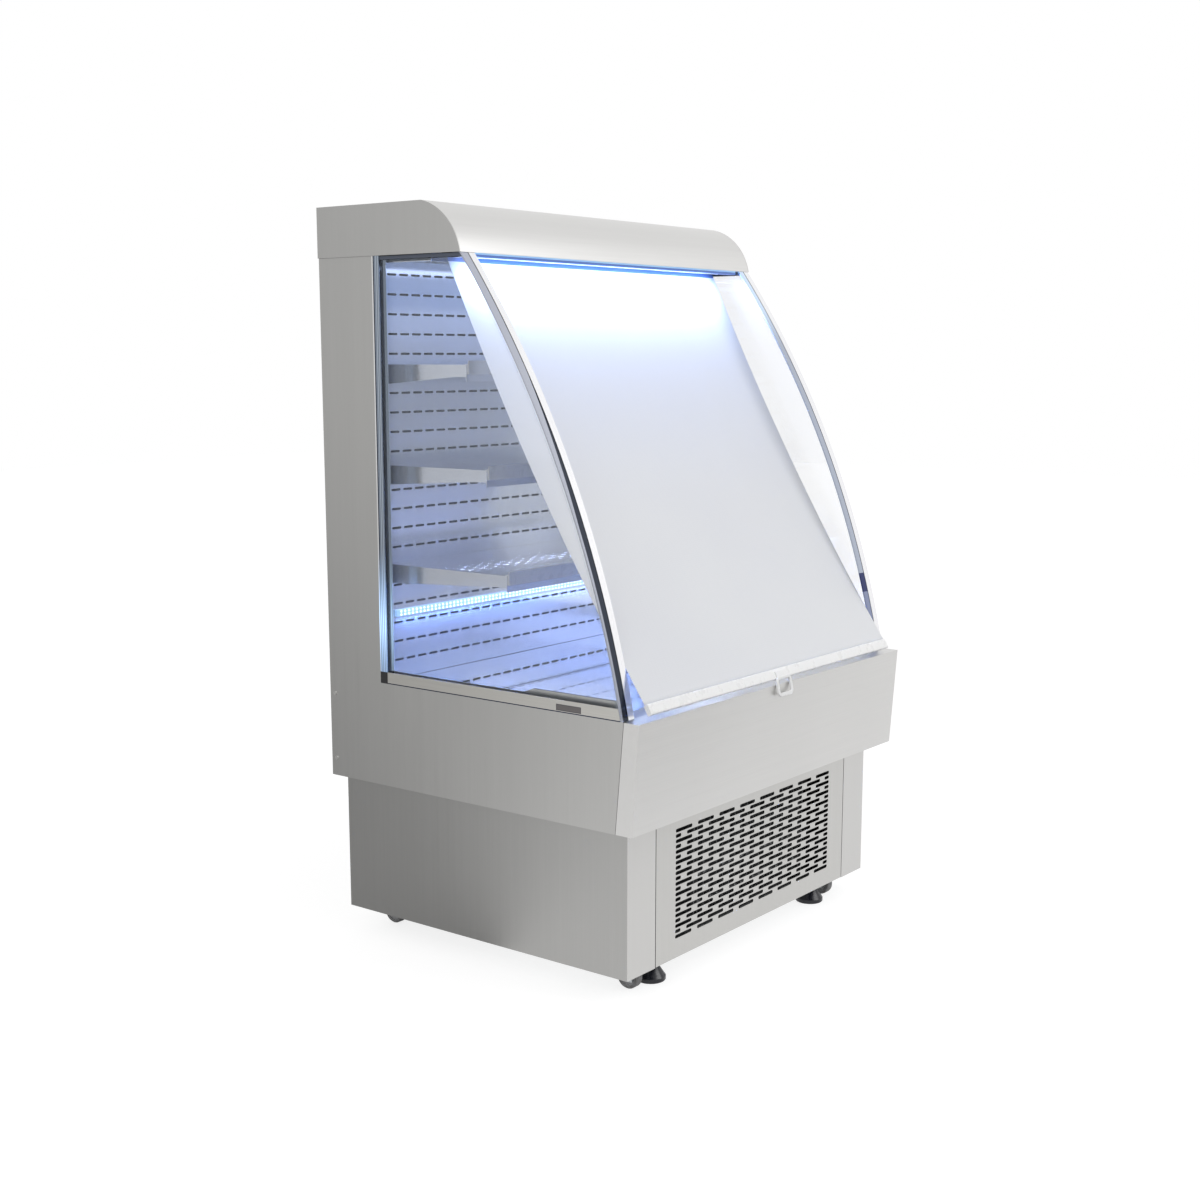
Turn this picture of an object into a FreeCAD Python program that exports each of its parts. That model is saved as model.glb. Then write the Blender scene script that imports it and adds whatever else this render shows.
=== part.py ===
"""Open multideck display fridge: a plug-in cooler with a slotted base, an insulated well, a rear column,
a rounded hood, curved side panes, hung shelves and a night blind.

Frame: +Z up, the front faces -Y, and the origin lies on the floor under the middle of the whole object.
Places from back to front are given as a depth, the distance in front of the rear face, and depth() turns
them into Y. Lengths are millimetres.
"""
import FreeCAD, Part
import Sketcher
import math
import os
from FreeCAD import Placement, Rotation, Vector

DRIVING_SIZES = [
    # alias, value, what it is
    ("overall_width", 1000, "width over the side panels"),
    ("total_depth", 818, "rear face to the blind handle"),
    ("cabinet_depth", 808, "rear face to the top edge of the leaning front"),
    ("top_height", 1525, "top of the hood"),
    ("skin", 1.5, "sheet thickness of the outer panels"),
    ("base_width", 913, "width of the machine compartment"),
    ("base_depth", 751, "depth of the machine compartment"),
    ("base_bottom", 50, "lower edge of the base panels"),
    ("corner_strip", 91, "front face of each base side panel"),
    ("tray_height", 68, "underside of the base tray"),
    ("well_bottom", 352, "underside of the well"),
    ("well_top", 568, "top edge of the well"),
    ("front_lean", 15, "how far the front leans out over the height of the well"),
    ("column_depth", 150, "depth of the rear column"),
    ("wall_depth", 120, "face of the slotted air wall"),
    ("rear_foam", 40, "thickness of the insulated rear panel"),
    ("hood_bottom", 1425, "lower edge of the hood"),
    ("hood_reach", 388, "depth of the front edge of the hood"),
    ("hood_flat", 288, "depth where the flat top of the hood ends"),
    ("hood_bulge", 21.3, "rise of the rounded hood edge over its chord"),
    ("hood_proud", 3, "how far each hood cap stands out sideways"),
    ("glass_unit", 20, "thickness of a side glazing unit"),
    ("pane", 4, "thickness of one pane"),
    ("glass_top_depth", 387, "front edge of the panes at the hood"),
    ("glass_foot_depth", 769, "front edge of the panes at the well"),
    ("glass_bulge", 52, "rise of the curved pane edge over its chord"),
    ("rail_top", 592, "upper edge of the lower glass rail"),
    ("slot_pitch", 34.5, "step of the air slots along a row"),
    ("slot_length", 26, "length of an air slot"),
    ("row_pitch", 39.6, "step of the slot rows of the air wall"),
    ("row_top", 1393.5, "height of the highest slot row"),
    ("deck_top", 486, "upper face of the deck panel"),
    ("deck_pitch", 96, "step of the slot rows of the deck"),
    ("shelf_half_width", 445, "half the width of a shelf"),
    ("shelf_top_height", 1214, "surface of the top shelf"),
    ("shelf_drop", 203.5, "step down from shelf to shelf"),
    ("shelf_top_front", 348, "depth of the front edge of the top shelf"),
    ("shelf_growth", 49.5, "how much deeper each lower shelf is"),
    ("shelf_side", 40, "height of a shelf side plate at the wall"),
    ("blind_lean", 30.1, "lean of the drawn blind from upright, in degrees"),
    ("blind_foot_depth", 797, "depth of the middle of the blind bar"),
    ("blind_foot_height", 587, "height of the middle of the blind bar"),
    ("blind_run", 972, "drawn length from the bar to the roller"),
    ("blind_half_width", 460, "half the width of the blind cloth"),
    ("roll_radius", 20, "radius of the roller with its wound cloth"),
    ("wheel_radius", 25, "radius of a castor wheel"),
    ("wheel_offset", 372.5, "distance of the castors from the middle"),
    ("wheel_rear_depth", 55, "depth of the rear castors"),
    ("wheel_front_depth", 695, "depth of the front castors"),
    ("foot_offset", 310, "distance of the levelling feet from the middle"),
    ("foot_depth", 700, "depth of the levelling feet"),
    ("foot_radius", 31, "radius of a levelling foot"),
    ("stud_radius", 5, "radius of a levelling stud"),
]

SIDES = (("left", -1), ("right", 1))

doc = FreeCAD.newDocument("display_fridge")
pieces = []


class Size:
    """A number that remembers the spreadsheet expression it comes from."""

    def __init__(self, value, text):
        self.value = value
        self.text = text

    def __add__(self, other):
        other = size(other)
        return Size(self.value + other.value, f"({self.text} + {other.text})")

    def __sub__(self, other):
        other = size(other)
        return Size(self.value - other.value, f"({self.text} - {other.text})")

    def __mul__(self, other):
        other = size(other)
        return Size(self.value * other.value, f"({self.text} * {other.text})")

    def __truediv__(self, other):
        other = size(other)
        return Size(self.value / other.value, f"({self.text} / {other.text})")

    def __neg__(self):
        return Size(-self.value, f"(0 - {self.text})")

    def __radd__(self, other):
        return size(other) + self

    def __rsub__(self, other):
        return size(other) - self

    def __rmul__(self, other):
        return size(other) * self

    def __float__(self):
        return float(self.value)


def size(number):
    """A Size from a Size or from a plain number."""
    if isinstance(number, Size):
        return number
    return Size(float(number), f"({float(number):.6f})")


def sine(angle):
    """Sine of a Size in degrees."""
    return Size(math.sin(math.radians(angle.value)), f"sin({angle.text})")


def cosine(angle):
    """Cosine of a Size in degrees."""
    return Size(math.cos(math.radians(angle.value)), f"cos({angle.text})")


class DrivingSheet:
    """The driving sizes: each is a spreadsheet cell and an attribute of the same name."""

    def __init__(self, table):
        self.sheet = doc.addObject("Spreadsheet::Sheet", "Dims")
        for row, (alias, value, note) in enumerate(table, 1):
            self.sheet.set(f"A{row}", note)
            self.sheet.set(f"B{row}", f"{value:g}")
            self.sheet.setAlias(f"B{row}", alias)
        doc.recompute()
        for alias, _, _ in table:
            setattr(self, alias, Size(float(self.sheet.get(alias)), "Dims." + alias))


dims = DrivingSheet(DRIVING_SIZES)
half_width = dims.overall_width / 2
half_base = dims.base_width / 2
skin = dims.skin


# ---------------------------------------------------------------- places

def depth(distance):
    """Y of a place that lies this far in front of the rear face."""
    return dims.total_depth / 2 - distance


def deep(rear, front):
    """Pair of Y values, low first, for a span of depths."""
    return depth(front), depth(rear)


def across(side, inner, outer):
    """Pair of X values, low first, for a span on the left (-1) or the right (1)."""
    inner, outer = size(inner), size(outer)
    return (inner, outer) if side > 0 else (-outer, -inner)


def both_ways(half):
    """Pair of X values for a span centred on the middle."""
    return -size(half), size(half)


# ---------------------------------------------------------------- document objects

def bind(obj, prop, amount):
    """Bind one property to the expression of a Size."""
    obj.setExpression(prop, size(amount).text)


def place(obj, x, y, z, axis=None, angle=0.0):
    """Turn an object about an axis through its own origin and bind its base point."""
    if axis is not None:
        obj.Placement = Placement(Vector(0, 0, 0), Rotation(axis, angle))
    for letter, amount in (("x", x), ("y", y), ("z", z)):
        bind(obj, ".Placement.Base." + letter, amount)


def box(name, x, y, z):
    """Part box between three pairs of low and high values."""
    obj = doc.addObject("Part::Box", name)
    for prop, (low, high) in (("Length", x), ("Width", y), ("Height", z)):
        bind(obj, prop, size(high) - low)
    place(obj, x[0], y[0], z[0])
    return obj


ALONG = {
    "X": (Vector(0, 1, 0), 90),
    "Y": (Vector(1, 0, 0), -90),
    "Z": (Vector(0, 0, 1), 0),
}


def cylinder(name, start, radius, length, along="Z"):
    """Part cylinder that begins at start and runs in the positive direction of an axis."""
    obj = doc.addObject("Part::Cylinder", name)
    bind(obj, "Radius", radius)
    bind(obj, "Height", length)
    axis, angle = ALONG[along]
    place(obj, *start, axis=axis, angle=angle)
    return obj


def cone(name, start, radius_low, radius_high, length, along="Z"):
    """Part cone that begins at start and runs in the positive direction of an axis."""
    obj = doc.addObject("Part::Cone", name)
    bind(obj, "Radius1", radius_low)
    bind(obj, "Radius2", radius_high)
    bind(obj, "Height", length)
    axis, angle = ALONG[along]
    place(obj, *start, axis=axis, angle=angle)
    return obj


def fuse(name, parts):
    """Boolean union of several objects."""
    obj = doc.addObject("Part::MultiFuse", name)
    obj.Shapes = list(parts)
    return obj


def group(name, parts):
    """Several separate solids in one object."""
    obj = doc.addObject("Part::Compound", name)
    obj.Links = list(parts)
    return obj


def cut(name, base, tools):
    """Boolean difference of one object and one or more separate tools."""
    obj = doc.addObject("Part::Cut", name)
    obj.Base = base
    obj.Tool = tools[0] if len(tools) == 1 else group(name + "_tools", tools)
    return obj


def shaped(name, shape, placement=None):
    """Part feature with a shape made by Part's own functions."""
    obj = doc.addObject("Part::Feature", name)
    obj.Shape = shape
    obj.Placement = placement or Placement()
    return obj


def keep(obj, label):
    """Name a finished sub-part."""
    obj.Label = label
    pieces.append(obj)
    return obj


# ---------------------------------------------------------------- bodies with sketches

def plane_of(body, role):
    """Origin plane or axis of a body by its role."""
    return next(item for item in body.Origin.OriginFeatures if item.Role == role)


def new_body(name):
    """Empty body."""
    return doc.addObject("PartDesign::Body", name)


def new_sketch(body, name, plane, offset):
    """Sketch on an origin plane of its body, moved along the plane's normal."""
    sketch = body.newObject("Sketcher::SketchObject", name)
    sketch.AttachmentSupport = (plane_of(body, plane), "")
    sketch.MapMode = "FlatFace"
    bind(sketch, ".AttachmentOffset.Base.z", offset)
    return sketch


def tie(sketch, kind, geometry, point, amount):
    """Bind a coordinate of a sketch point to the expression of a Size."""
    index = sketch.addConstraint(Sketcher.Constraint(kind, -1, 1, geometry, point, amount.value))
    sketch.setExpression(f"Constraints[{index}]", amount.text)


def polygon(body, name, plane, points, offset=0):
    """Closed sketch of straight lines through points, each a pair of sizes."""
    sketch = new_sketch(body, name, plane, offset)
    points = [(size(u), size(v)) for u, v in points]
    corners = [Vector(u.value, v.value, 0) for u, v in points]
    count = len(points)
    for here, there in zip(corners, corners[1:] + corners[:1]):
        sketch.addGeometry(Part.LineSegment(here, there), False)
    for index in range(count):
        sketch.addConstraint(Sketcher.Constraint("Coincident", index, 2, (index + 1) % count, 1))
    for index, (u, v) in enumerate(points):
        tie(sketch, "DistanceX", index, 1, u)
        tie(sketch, "DistanceY", index, 1, v)
    return sketch


def circles(body, name, plane, centres, radius, offset=0):
    """Sketch of equal circles."""
    sketch = new_sketch(body, name, plane, offset)
    radius = size(radius)
    for u, v in centres:
        u, v = size(u), size(v)
        middle = Vector(u.value, v.value, 0)
        ring = sketch.addGeometry(Part.Circle(middle, Vector(0, 0, 1), radius.value), False)
        tie(sketch, "DistanceX", ring, 3, u)
        tie(sketch, "DistanceY", ring, 3, v)
        index = sketch.addConstraint(Sketcher.Constraint("Radius", ring, radius.value))
        sketch.setExpression(f"Constraints[{index}]", radius.text)
    return sketch


def pad(body, name, sketch, length):
    """Pad of a sketch along its normal."""
    feature = body.newObject("PartDesign::Pad", name)
    feature.Profile = sketch
    bind(feature, "Length", length)
    sketch.Visibility = False
    return feature


def prism(body, name, plane, points, start, length):
    """Pad of a polygon that begins at start along the normal of its plane."""
    return pad(body, name, polygon(body, name + "_outline", plane, points, start), length)


def turned(name, points):
    """Body turned about its own Z axis from pairs of radius and height."""
    body = new_body(name)
    sketch = polygon(body, name + "_profile", "XZ_Plane", points)
    turn = body.newObject("PartDesign::Revolution", name + "_turn")
    turn.Profile = sketch
    turn.ReferenceAxis = (sketch, ["V_Axis"])
    turn.Angle = 360
    return body


def stand(body, x, y, z, along="Z"):
    """Place a body with its Z axis along X, Y or Z."""
    axis, angle = ALONG[along]
    place(body, x, y, z, axis=axis, angle=angle)
    return body


# ---------------------------------------------------------------- sheets with holes

UPRIGHT = Rotation(Vector(1, 0, 0), 90)


def rectangle(low_u, high_u, low_v, high_v):
    """Closed rectangular wire in the plane of a flat sheet."""
    corners = [(low_u, low_v), (high_u, low_v), (high_u, high_v), (low_u, high_v), (low_u, low_v)]
    return Part.makePolygon([Vector(float(u), float(v), 0) for u, v in corners])


def stadium(u, v, length, height):
    """Closed wire of a slot with round ends, centred on a point."""
    radius = height / 2
    reach = length / 2 - radius
    low_left, low_right = Vector(u - reach, v - radius, 0), Vector(u + reach, v - radius, 0)
    top_right, top_left = Vector(u + reach, v + radius, 0), Vector(u - reach, v + radius, 0)
    right_end = Part.Arc(low_right, Vector(u + reach + radius, v, 0), top_right).toShape()
    left_end = Part.Arc(top_left, Vector(u - reach - radius, v, 0), low_left).toShape()
    return Part.Wire([Part.makeLine(low_left, low_right), right_end,
                      Part.makeLine(top_right, top_left), left_end])


def circle(u, v, radius):
    """Closed wire of a round hole."""
    return Part.Wire(Part.makeCircle(radius, Vector(u, v, 0)))


def hexagon(u, v, radius):
    """Closed wire of a hexagon with a corner to the side."""
    turns = [step * math.pi / 3 for step in range(7)]
    corners = [Vector(u + radius * math.cos(turn), v + radius * math.sin(turn), 0) for turn in turns]
    return Part.makePolygon(corners)


def holed(outline, holes, thickness):
    """Flat sheet with holes, lying on the XY plane."""
    face = Part.Face([outline] + holes)
    face.validate()
    return face.extrude(Vector(0, 0, float(thickness)))


def slot_row(v, count, pitch, length, height):
    """Slots of one row, centred on the middle."""
    first = -(count - 1) / 2 * pitch
    return [stadium(first + index * pitch, v, length, height) for index in range(count)]


def block(u, v, w):
    """Plain block between three pairs of numbers."""
    low = Vector(float(u[0]), float(v[0]), float(w[0]))
    high = Vector(float(u[1]), float(v[1]), float(w[1]))
    span = high - low
    return Part.makeBox(span.x, span.y, span.z, low)


# ---------------------------------------------------------------- outlines seen from the side

def side_point(distance, height):
    """Point of a side outline from its depth and height."""
    return Vector(0, float(depth(distance)), float(height))


def side_outline(start, *steps):
    """Closed wire seen from the side. A step is a corner, or the middle and the end of an arc."""
    edges = []
    here = side_point(*start)
    for step in steps + (start,):
        if isinstance(step[0], tuple):
            middle, there = side_point(*step[0]), side_point(*step[1])
            edges.append(Part.Arc(here, middle, there).toShape())
        else:
            there = side_point(*step)
            edges.append(Part.makeLine(here, there))
        here = there
    return Part.Wire(edges)


def side_slab(outline, width):
    """Slab of a side outline, from X = 0 to its width."""
    return Part.Face(outline).extrude(Vector(float(width), 0, 0))


class EdgeArc:
    """Circle through two points of the side view, bulging to the front by a given rise."""

    def __init__(self, top, foot, rise):
        (self.top_depth, self.top_height), (self.foot_depth, self.foot_height) = top, foot
        run, fall = self.foot_depth - self.top_depth, self.top_height - self.foot_height
        chord = math.hypot(run, fall)
        self.radius = (chord * chord / 4 + rise * rise) / (2 * rise)
        back = self.radius - rise
        self.centre_depth = (self.top_depth + self.foot_depth) / 2 - back * fall / chord
        self.centre_height = (self.top_height + self.foot_height) / 2 - back * run / chord

    def at(self, height, inset=0.0):
        """Point of the circle, moved inwards, at a height."""
        level = height - self.centre_height
        reach = math.sqrt((self.radius - inset) ** 2 - level * level)
        return self.centre_depth + reach, height

    def up(self, low, high, inset=0.0):
        """Step of a side outline from a low point to a high one."""
        return self.at((low + high) / 2, inset), self.at(high, inset)

    def down(self, high, low, inset=0.0):
        """Step of a side outline from a high point to a low one."""
        return self.at((low + high) / 2, inset), self.at(low, inset)


glass_edge = EdgeArc((float(dims.glass_top_depth), float(dims.hood_bottom)),
                     (float(dims.glass_foot_depth), float(dims.well_top)), float(dims.glass_bulge))
hood_edge = EdgeArc((float(dims.hood_flat), float(dims.top_height)),
                    (float(dims.hood_reach), float(dims.hood_bottom)), float(dims.hood_bulge))


# ---------------------------------------------------------------- base

CASTORS = (("rear", dims.wheel_rear_depth), ("front", dims.wheel_front_depth))
AXLE_RADIUS = 4
FORK_GAP = 11.5
FORK_SHEET = 2.5
TRAY_FRONT_GAP = 16.0
REAR_PANEL_DEPTH = 12.0


def base_side_panel(name, side):
    """Side sheet that turns round to the front corner and ends in a stiffening lip."""
    lip = 15
    edge = half_base - dims.corner_strip
    inner = half_base - skin
    plan = [
        (half_base - lip, 0), (half_base, 0), (half_base, dims.base_depth), (edge, dims.base_depth),
        (edge, dims.base_depth - lip), (edge + skin, dims.base_depth - lip),
        (edge + skin, dims.base_depth - skin), (inner, dims.base_depth - skin), (inner, skin),
        (half_base - lip, skin),
    ]
    points = [(x if side > 0 else -x, depth(distance)) for x, distance in plan]
    body = new_body("base_side_" + name)
    prism(body, "base_side_sheet_" + name, "XY_Plane", points, dims.base_bottom,
          dims.well_bottom - dims.base_bottom)
    keep(body, "base_side_panel_" + name)


def castor_fork(name, side, wheel_depth):
    """Two cheeks, a head plate and an axle, all of them welded together."""
    middle = dims.wheel_offset * side
    parts = []
    for cheek, lean in (("inner", -1), ("outer", 1)):
        near, far = middle + FORK_GAP * lean, middle + (FORK_GAP + FORK_SHEET) * lean
        span = (near, far) if lean > 0 else (far, near)
        parts.append(box(f"{name}_{cheek}_cheek", span, deep(wheel_depth - 15, wheel_depth + 15),
                         (17, dims.tray_height)))
    reach = FORK_GAP + FORK_SHEET
    parts.append(box(name + "_head", (middle - 24, middle + 24), deep(wheel_depth - 28, wheel_depth + 28),
                     (dims.tray_height - 3, dims.tray_height)))
    parts.append(cylinder(name + "_axle", (middle - reach - 2, depth(wheel_depth), dims.wheel_radius),
                          AXLE_RADIUS, (reach + 2) * 2, "X"))
    return parts


def base_tray():
    """Floor of the machine compartment with its flanges, castor forks and foot nuts."""
    sheet = 2
    flange = 26
    bottom, floor_top = dims.tray_height, dims.tray_height + sheet
    half = half_base - skin
    front = dims.base_depth - TRAY_FRONT_GAP
    rear = REAR_PANEL_DEPTH + skin
    parts = [box("tray_floor", both_ways(half), deep(rear, front), (bottom, floor_top))]
    for name, side in SIDES:
        parts.append(box("tray_flange_" + name, across(side, half - sheet, half), deep(rear, front),
                         (floor_top, floor_top + flange)))
        for end, wheel_depth in CASTORS:
            parts += castor_fork(f"fork_{end}_{name}", side, wheel_depth)
        nut_at = (dims.foot_offset * side, depth(dims.foot_depth), bottom - 8)
        parts.append(cylinder("foot_nut_" + name, nut_at, 11, 8))
    parts.append(box("tray_flange_rear", both_ways(half), deep(rear, rear + sheet),
                     (floor_top, floor_top + flange)))
    solid = fuse("tray_solid", parts)
    bores = []
    for name, side in SIDES:
        bore_at = (dims.foot_offset * side, depth(dims.foot_depth), bottom - 9)
        bores.append(cylinder("foot_bore_" + name, bore_at, dims.stud_radius + 0.08, 9 + sheet + 1))
    keep(cut("tray", solid, bores), "base_tray")


def castor_wheels():
    """Four grey tyred wheels, each turning on the axle of its fork."""
    half_tread, half_hub = 10, 11
    rim = dims.wheel_radius
    profile = [
        (AXLE_RADIUS + 0.08, -half_hub), (9, -half_hub), (9, -7), (18, -7), (18, -half_tread),
        (rim - 2, -half_tread), (rim, -half_tread + 3), (rim, half_tread - 3), (rim - 2, half_tread),
        (18, half_tread), (18, 7), (9, 7), (9, half_hub), (AXLE_RADIUS + 0.08, half_hub),
    ]
    for end, wheel_depth in CASTORS:
        for name, side in SIDES:
            wheel = turned(f"wheel_{end}_{name}", profile)
            stand(wheel, dims.wheel_offset * side, depth(wheel_depth), dims.wheel_radius, "X")
            keep(wheel, f"castor_wheel_{end}_{name}")


def levelling_feet():
    """Two feet: a pad with a coned top and a threaded stud."""
    pad_radius = dims.foot_radius
    profile = [
        (0, 0), (pad_radius - 1.5, 0), (pad_radius, 2), (pad_radius, 9), (pad_radius - 3, 13), (17, 30),
        (14, 44), (14, 52), (dims.stud_radius, 52), (dims.stud_radius, 112), (0, 112),
    ]
    for name, side in SIDES:
        foot = turned("foot_" + name, profile)
        stand(foot, dims.foot_offset * side, depth(dims.foot_depth), 0)
        keep(foot, "levelling_foot_" + name)


GRILLE_SLOT = 57.0
GRILLE_GAP = 20.0
GRILLE_END_SLOT = 18.5
GRILLE_SLOT_HEIGHT = 7.3
GRILLE_ROWS = 21
GRILLE_FIELD = (91.1, 315.9)


def grille_slots():
    """Rows of eight slots alternate with rows of seven slots and a short one at each end."""
    pitch = GRILLE_SLOT + GRILLE_GAP
    low, high = GRILLE_FIELD
    step = (high - low - GRILLE_SLOT_HEIGHT) / (GRILLE_ROWS - 1)
    half_field = (8 * GRILLE_SLOT + 7 * GRILLE_GAP) / 2
    slots = []
    for row in range(GRILLE_ROWS):
        level = high - GRILLE_SLOT_HEIGHT / 2 - row * step
        if row % 2 == 0:
            slots += slot_row(level, 8, pitch, GRILLE_SLOT, GRILLE_SLOT_HEIGHT)
            continue
        slots += slot_row(level, 7, pitch, GRILLE_SLOT, GRILLE_SLOT_HEIGHT)
        for side in (-1, 1):
            middle = side * (half_field - GRILLE_END_SLOT / 2)
            slots.append(stadium(middle, level, GRILLE_END_SLOT, GRILLE_SLOT_HEIGHT))
    return slots


def grille_panel():
    """Front cover between the corner strips: slotted sheet with folded edges."""
    sheet, fold = float(skin), 10.0
    half = float(half_base - dims.corner_strip) - 2.0
    low, high = float(dims.base_bottom) + 1.0, float(dims.well_bottom) - 2.0
    shape = holed(rectangle(-half, half, low, high), grille_slots(), sheet)
    folds = [
        block((-half, -half + sheet), (low, high), (-fold, 0)),
        block((half - sheet, half), (low, high), (-fold, 0)),
        block((-half, half), (low, low + sheet), (-fold, 0)),
        block((-half, half), (high - sheet, high), (-fold, 0)),
    ]
    shape = shape.multiFuse(folds).removeSplitter()
    at = Vector(0, float(depth(dims.base_depth - skin)), 0)
    keep(shaped("grille", shape, Placement(at, UPRIGHT)), "grille_panel")


SWITCH_AT = (330.0, 250.0)
GLAND_AT = (400.0, 130.0)
GLAND_THREAD_RADIUS = 8.0


def base_rear_panel():
    """Recessed rear cover with two fields of air slots and the openings for switch and gland."""
    sheet = float(skin)
    half = float(half_base) - 3.0
    low, high = float(dims.tray_height), float(dims.well_bottom) - 1.0
    holes = []
    for row in range(10):
        level = 150.0 + row * 18.0
        holes += [stadium(-330.0 + index * 90.0, level, 70.0, 7.0) for index in range(6)]
    switch_x, switch_z = SWITCH_AT
    gland_x, gland_z = GLAND_AT
    holes.append(rectangle(switch_x - 14, switch_x + 14, switch_z - 11, switch_z + 11))
    holes.append(circle(gland_x, gland_z, GLAND_THREAD_RADIUS))
    shape = holed(rectangle(-half, half, low, high), holes, sheet)
    at = Vector(0, float(depth(REAR_PANEL_DEPTH)), 0)
    keep(shaped("rear_cover", shape, Placement(at, UPRIGHT)), "base_rear_panel")


def control_box():
    """Control housing behind the rear cover, with the frame and the pin of the switch."""
    x, z = SWITCH_AT
    housing = box("control_housing", (x - 70, x + 50), deep(30, 110), (z - 60, z + 50))
    neck = box("switch_neck", (x - 13.5, x + 13.5), deep(REAR_PANEL_DEPTH, 30.5), (z - 10.5, z + 10.5))
    frame = box("switch_frame", (x - 17, x + 17), deep(REAR_PANEL_DEPTH - 2, REAR_PANEL_DEPTH),
                (z - 14, z + 14))
    solid = fuse("control_solid", [housing, neck, frame])
    pocket = box("switch_pocket", (x - 12.3, x + 12.3), deep(REAR_PANEL_DEPTH - 3, 28), (z - 9.3, z + 9.3))
    hollow = cut("control_hollow", solid, [pocket])
    pin = cylinder("switch_pin", (x - 13, depth(18), z), 1.5, 26, "X")
    keep(fuse("control", [hollow, pin]), "control_box")


def power_switch():
    """Rocker on its pin, pressed in at its lower half."""
    x, z = SWITCH_AT
    rocker = box("rocker_block", (-12, 12), (-5, 10), (-7.4, 7.4))
    bore = cylinder("rocker_bore", (-13, 0, 0), 1.55, 26, "X")
    switch = cut("rocker", rocker, [bore])
    place(switch, x, depth(18), z, Vector(1, 0, 0), -8)
    keep(switch, "power_switch")


def power_inlet():
    """Gland for the supply lead: hexagon body, coned cap and inner lock nut round one bore."""
    x, z = GLAND_AT
    outer = doc.addObject("Part::Prism", "gland_body")
    outer.Polygon = 6
    bind(outer, "Circumradius", 13)
    bind(outer, "Height", 5)
    place(outer, x, depth(REAR_PANEL_DEPTH), z, Vector(1, 0, 0), -90)
    cap = cone("gland_cap", (x, depth(REAR_PANEL_DEPTH - 5), z), 10, 7, 6.5, "Y")
    thread = cylinder("gland_thread", (x, depth(32), z), GLAND_THREAD_RADIUS - 0.1, 20, "Y")
    nut = cylinder("gland_nut", (x, depth(21), z), 12, 21 - (REAR_PANEL_DEPTH + 1.5), "Y")
    solid = fuse("gland_solid", [outer, cap, thread, nut])
    bore = cylinder("gland_bore", (x, depth(34), z), 4.5, 36, "Y")
    keep(cut("gland", solid, [bore]), "power_inlet")


# ---------------------------------------------------------------- machine compartment

def compressor():
    """Hermetic compressor: welded dome on a foot plate with rubber mounts, stubs and a terminal box."""
    x, at_depth, floor = -230, 260, dims.tray_height + 2
    middle = (x, depth(at_depth))
    parts = [cylinder("dome_wall", (*middle, floor + 52), 74, 82)]
    for name, level in (("dome_top", floor + 134), ("dome_foot", floor + 52)):
        dome = doc.addObject("Part::Ellipsoid", name)
        bind(dome, "Radius1", 40 if name == "dome_top" else 36)
        bind(dome, "Radius2", 74)
        bind(dome, "Radius3", 74)
        dome.Angle1 = -90
        place(dome, *middle, level)
        parts.append(dome)
    parts.append(cylinder("dome_seam", (*middle, floor + 88), 78, 7))
    parts.append(box("foot_plate", (x - 100, x + 100), deep(at_depth - 62, at_depth + 62),
                     (floor + 14, floor + 19)))
    for index, (lean_x, lean_y) in enumerate(((-1, -1), (1, -1), (1, 1), (-1, 1))):
        mount_at = (x + 82 * lean_x, depth(at_depth + 46 * lean_y), floor)
        parts.append(cylinder(f"rubber_mount_{index}", mount_at, 12, 24))
    parts.append(box("terminal_box", (x + 60, x + 108), deep(at_depth - 28, at_depth + 28),
                     (floor + 70, floor + 120)))
    parts.append(cylinder("suction_stub", (x - 108, depth(at_depth + 20), floor + 110), 5, 50, "X"))
    parts.append(cylinder("discharge_stub", (x - 104, depth(at_depth - 24), floor + 76), 4, 50, "X"))
    keep(fuse("hermetic_compressor", parts), "compressor")


def finned_coil(name, x, y, z, tube_radius, tube_rows, tube_columns, fins):
    """Tube bank along X with a row of thin plates across it. Sizes are pairs of low and high."""
    body = new_body(name)
    length = size(x[1]) - x[0]
    centres = []
    for row in range(tube_rows):
        for column in range(tube_columns):
            centres.append((y[0] + (y[1] - y[0]) * ((column + 0.5) / tube_columns),
                            z[0] + (size(z[1]) - z[0]) * ((row + 0.5) / tube_rows)))
    ends = circles(body, name + "_ends", "YZ_Plane", centres, tube_radius, x[0] - 12)
    pad(body, name + "_tubes", ends, length + 24)
    plate = [(y[0], z[0]), (y[1], z[0]), (y[1], z[1]), (y[0], z[1])]
    fin = prism(body, name + "_fin", "YZ_Plane", plate, x[0], 1.2)
    row = body.newObject("PartDesign::LinearPattern", name + "_fins")
    row.Originals = [fin]
    row.Direction = (plane_of(body, "X_Axis"), [""])
    bind(row, "Length", length - 1.2)
    row.Occurrences = fins
    body.Tip = row
    return body


def fan_rotor(name, tip_radius, hub_radius, bore_radius, hub_height, blade_count):
    """Rotor turned about Z: a hub with a bore and flat pitched blades."""
    hub = [(bore_radius, 0), (hub_radius, 0), (hub_radius, hub_height), (bore_radius, hub_height)]
    body = turned(name, hub)
    half_chord = hub_radius * 0.8
    rise = hub_height * 0.36
    middle = hub_height / 2
    sheet = 1.6
    blade = [(-half_chord, middle - rise), (half_chord, middle + rise - sheet),
             (half_chord, middle + rise), (-half_chord, middle - rise + sheet)]
    inner = math.sqrt(hub_radius ** 2 - half_chord ** 2) - 1.0
    root = prism(body, name + "_blade", "YZ_Plane", blade, inner, tip_radius - inner)
    ring = body.newObject("PartDesign::PolarPattern", name + "_blades")
    ring.Originals = [root]
    ring.Axis = (plane_of(body, "Z_Axis"), [""])
    ring.Angle = 360
    ring.Occurrences = blade_count
    body.Tip = ring
    return body


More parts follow.
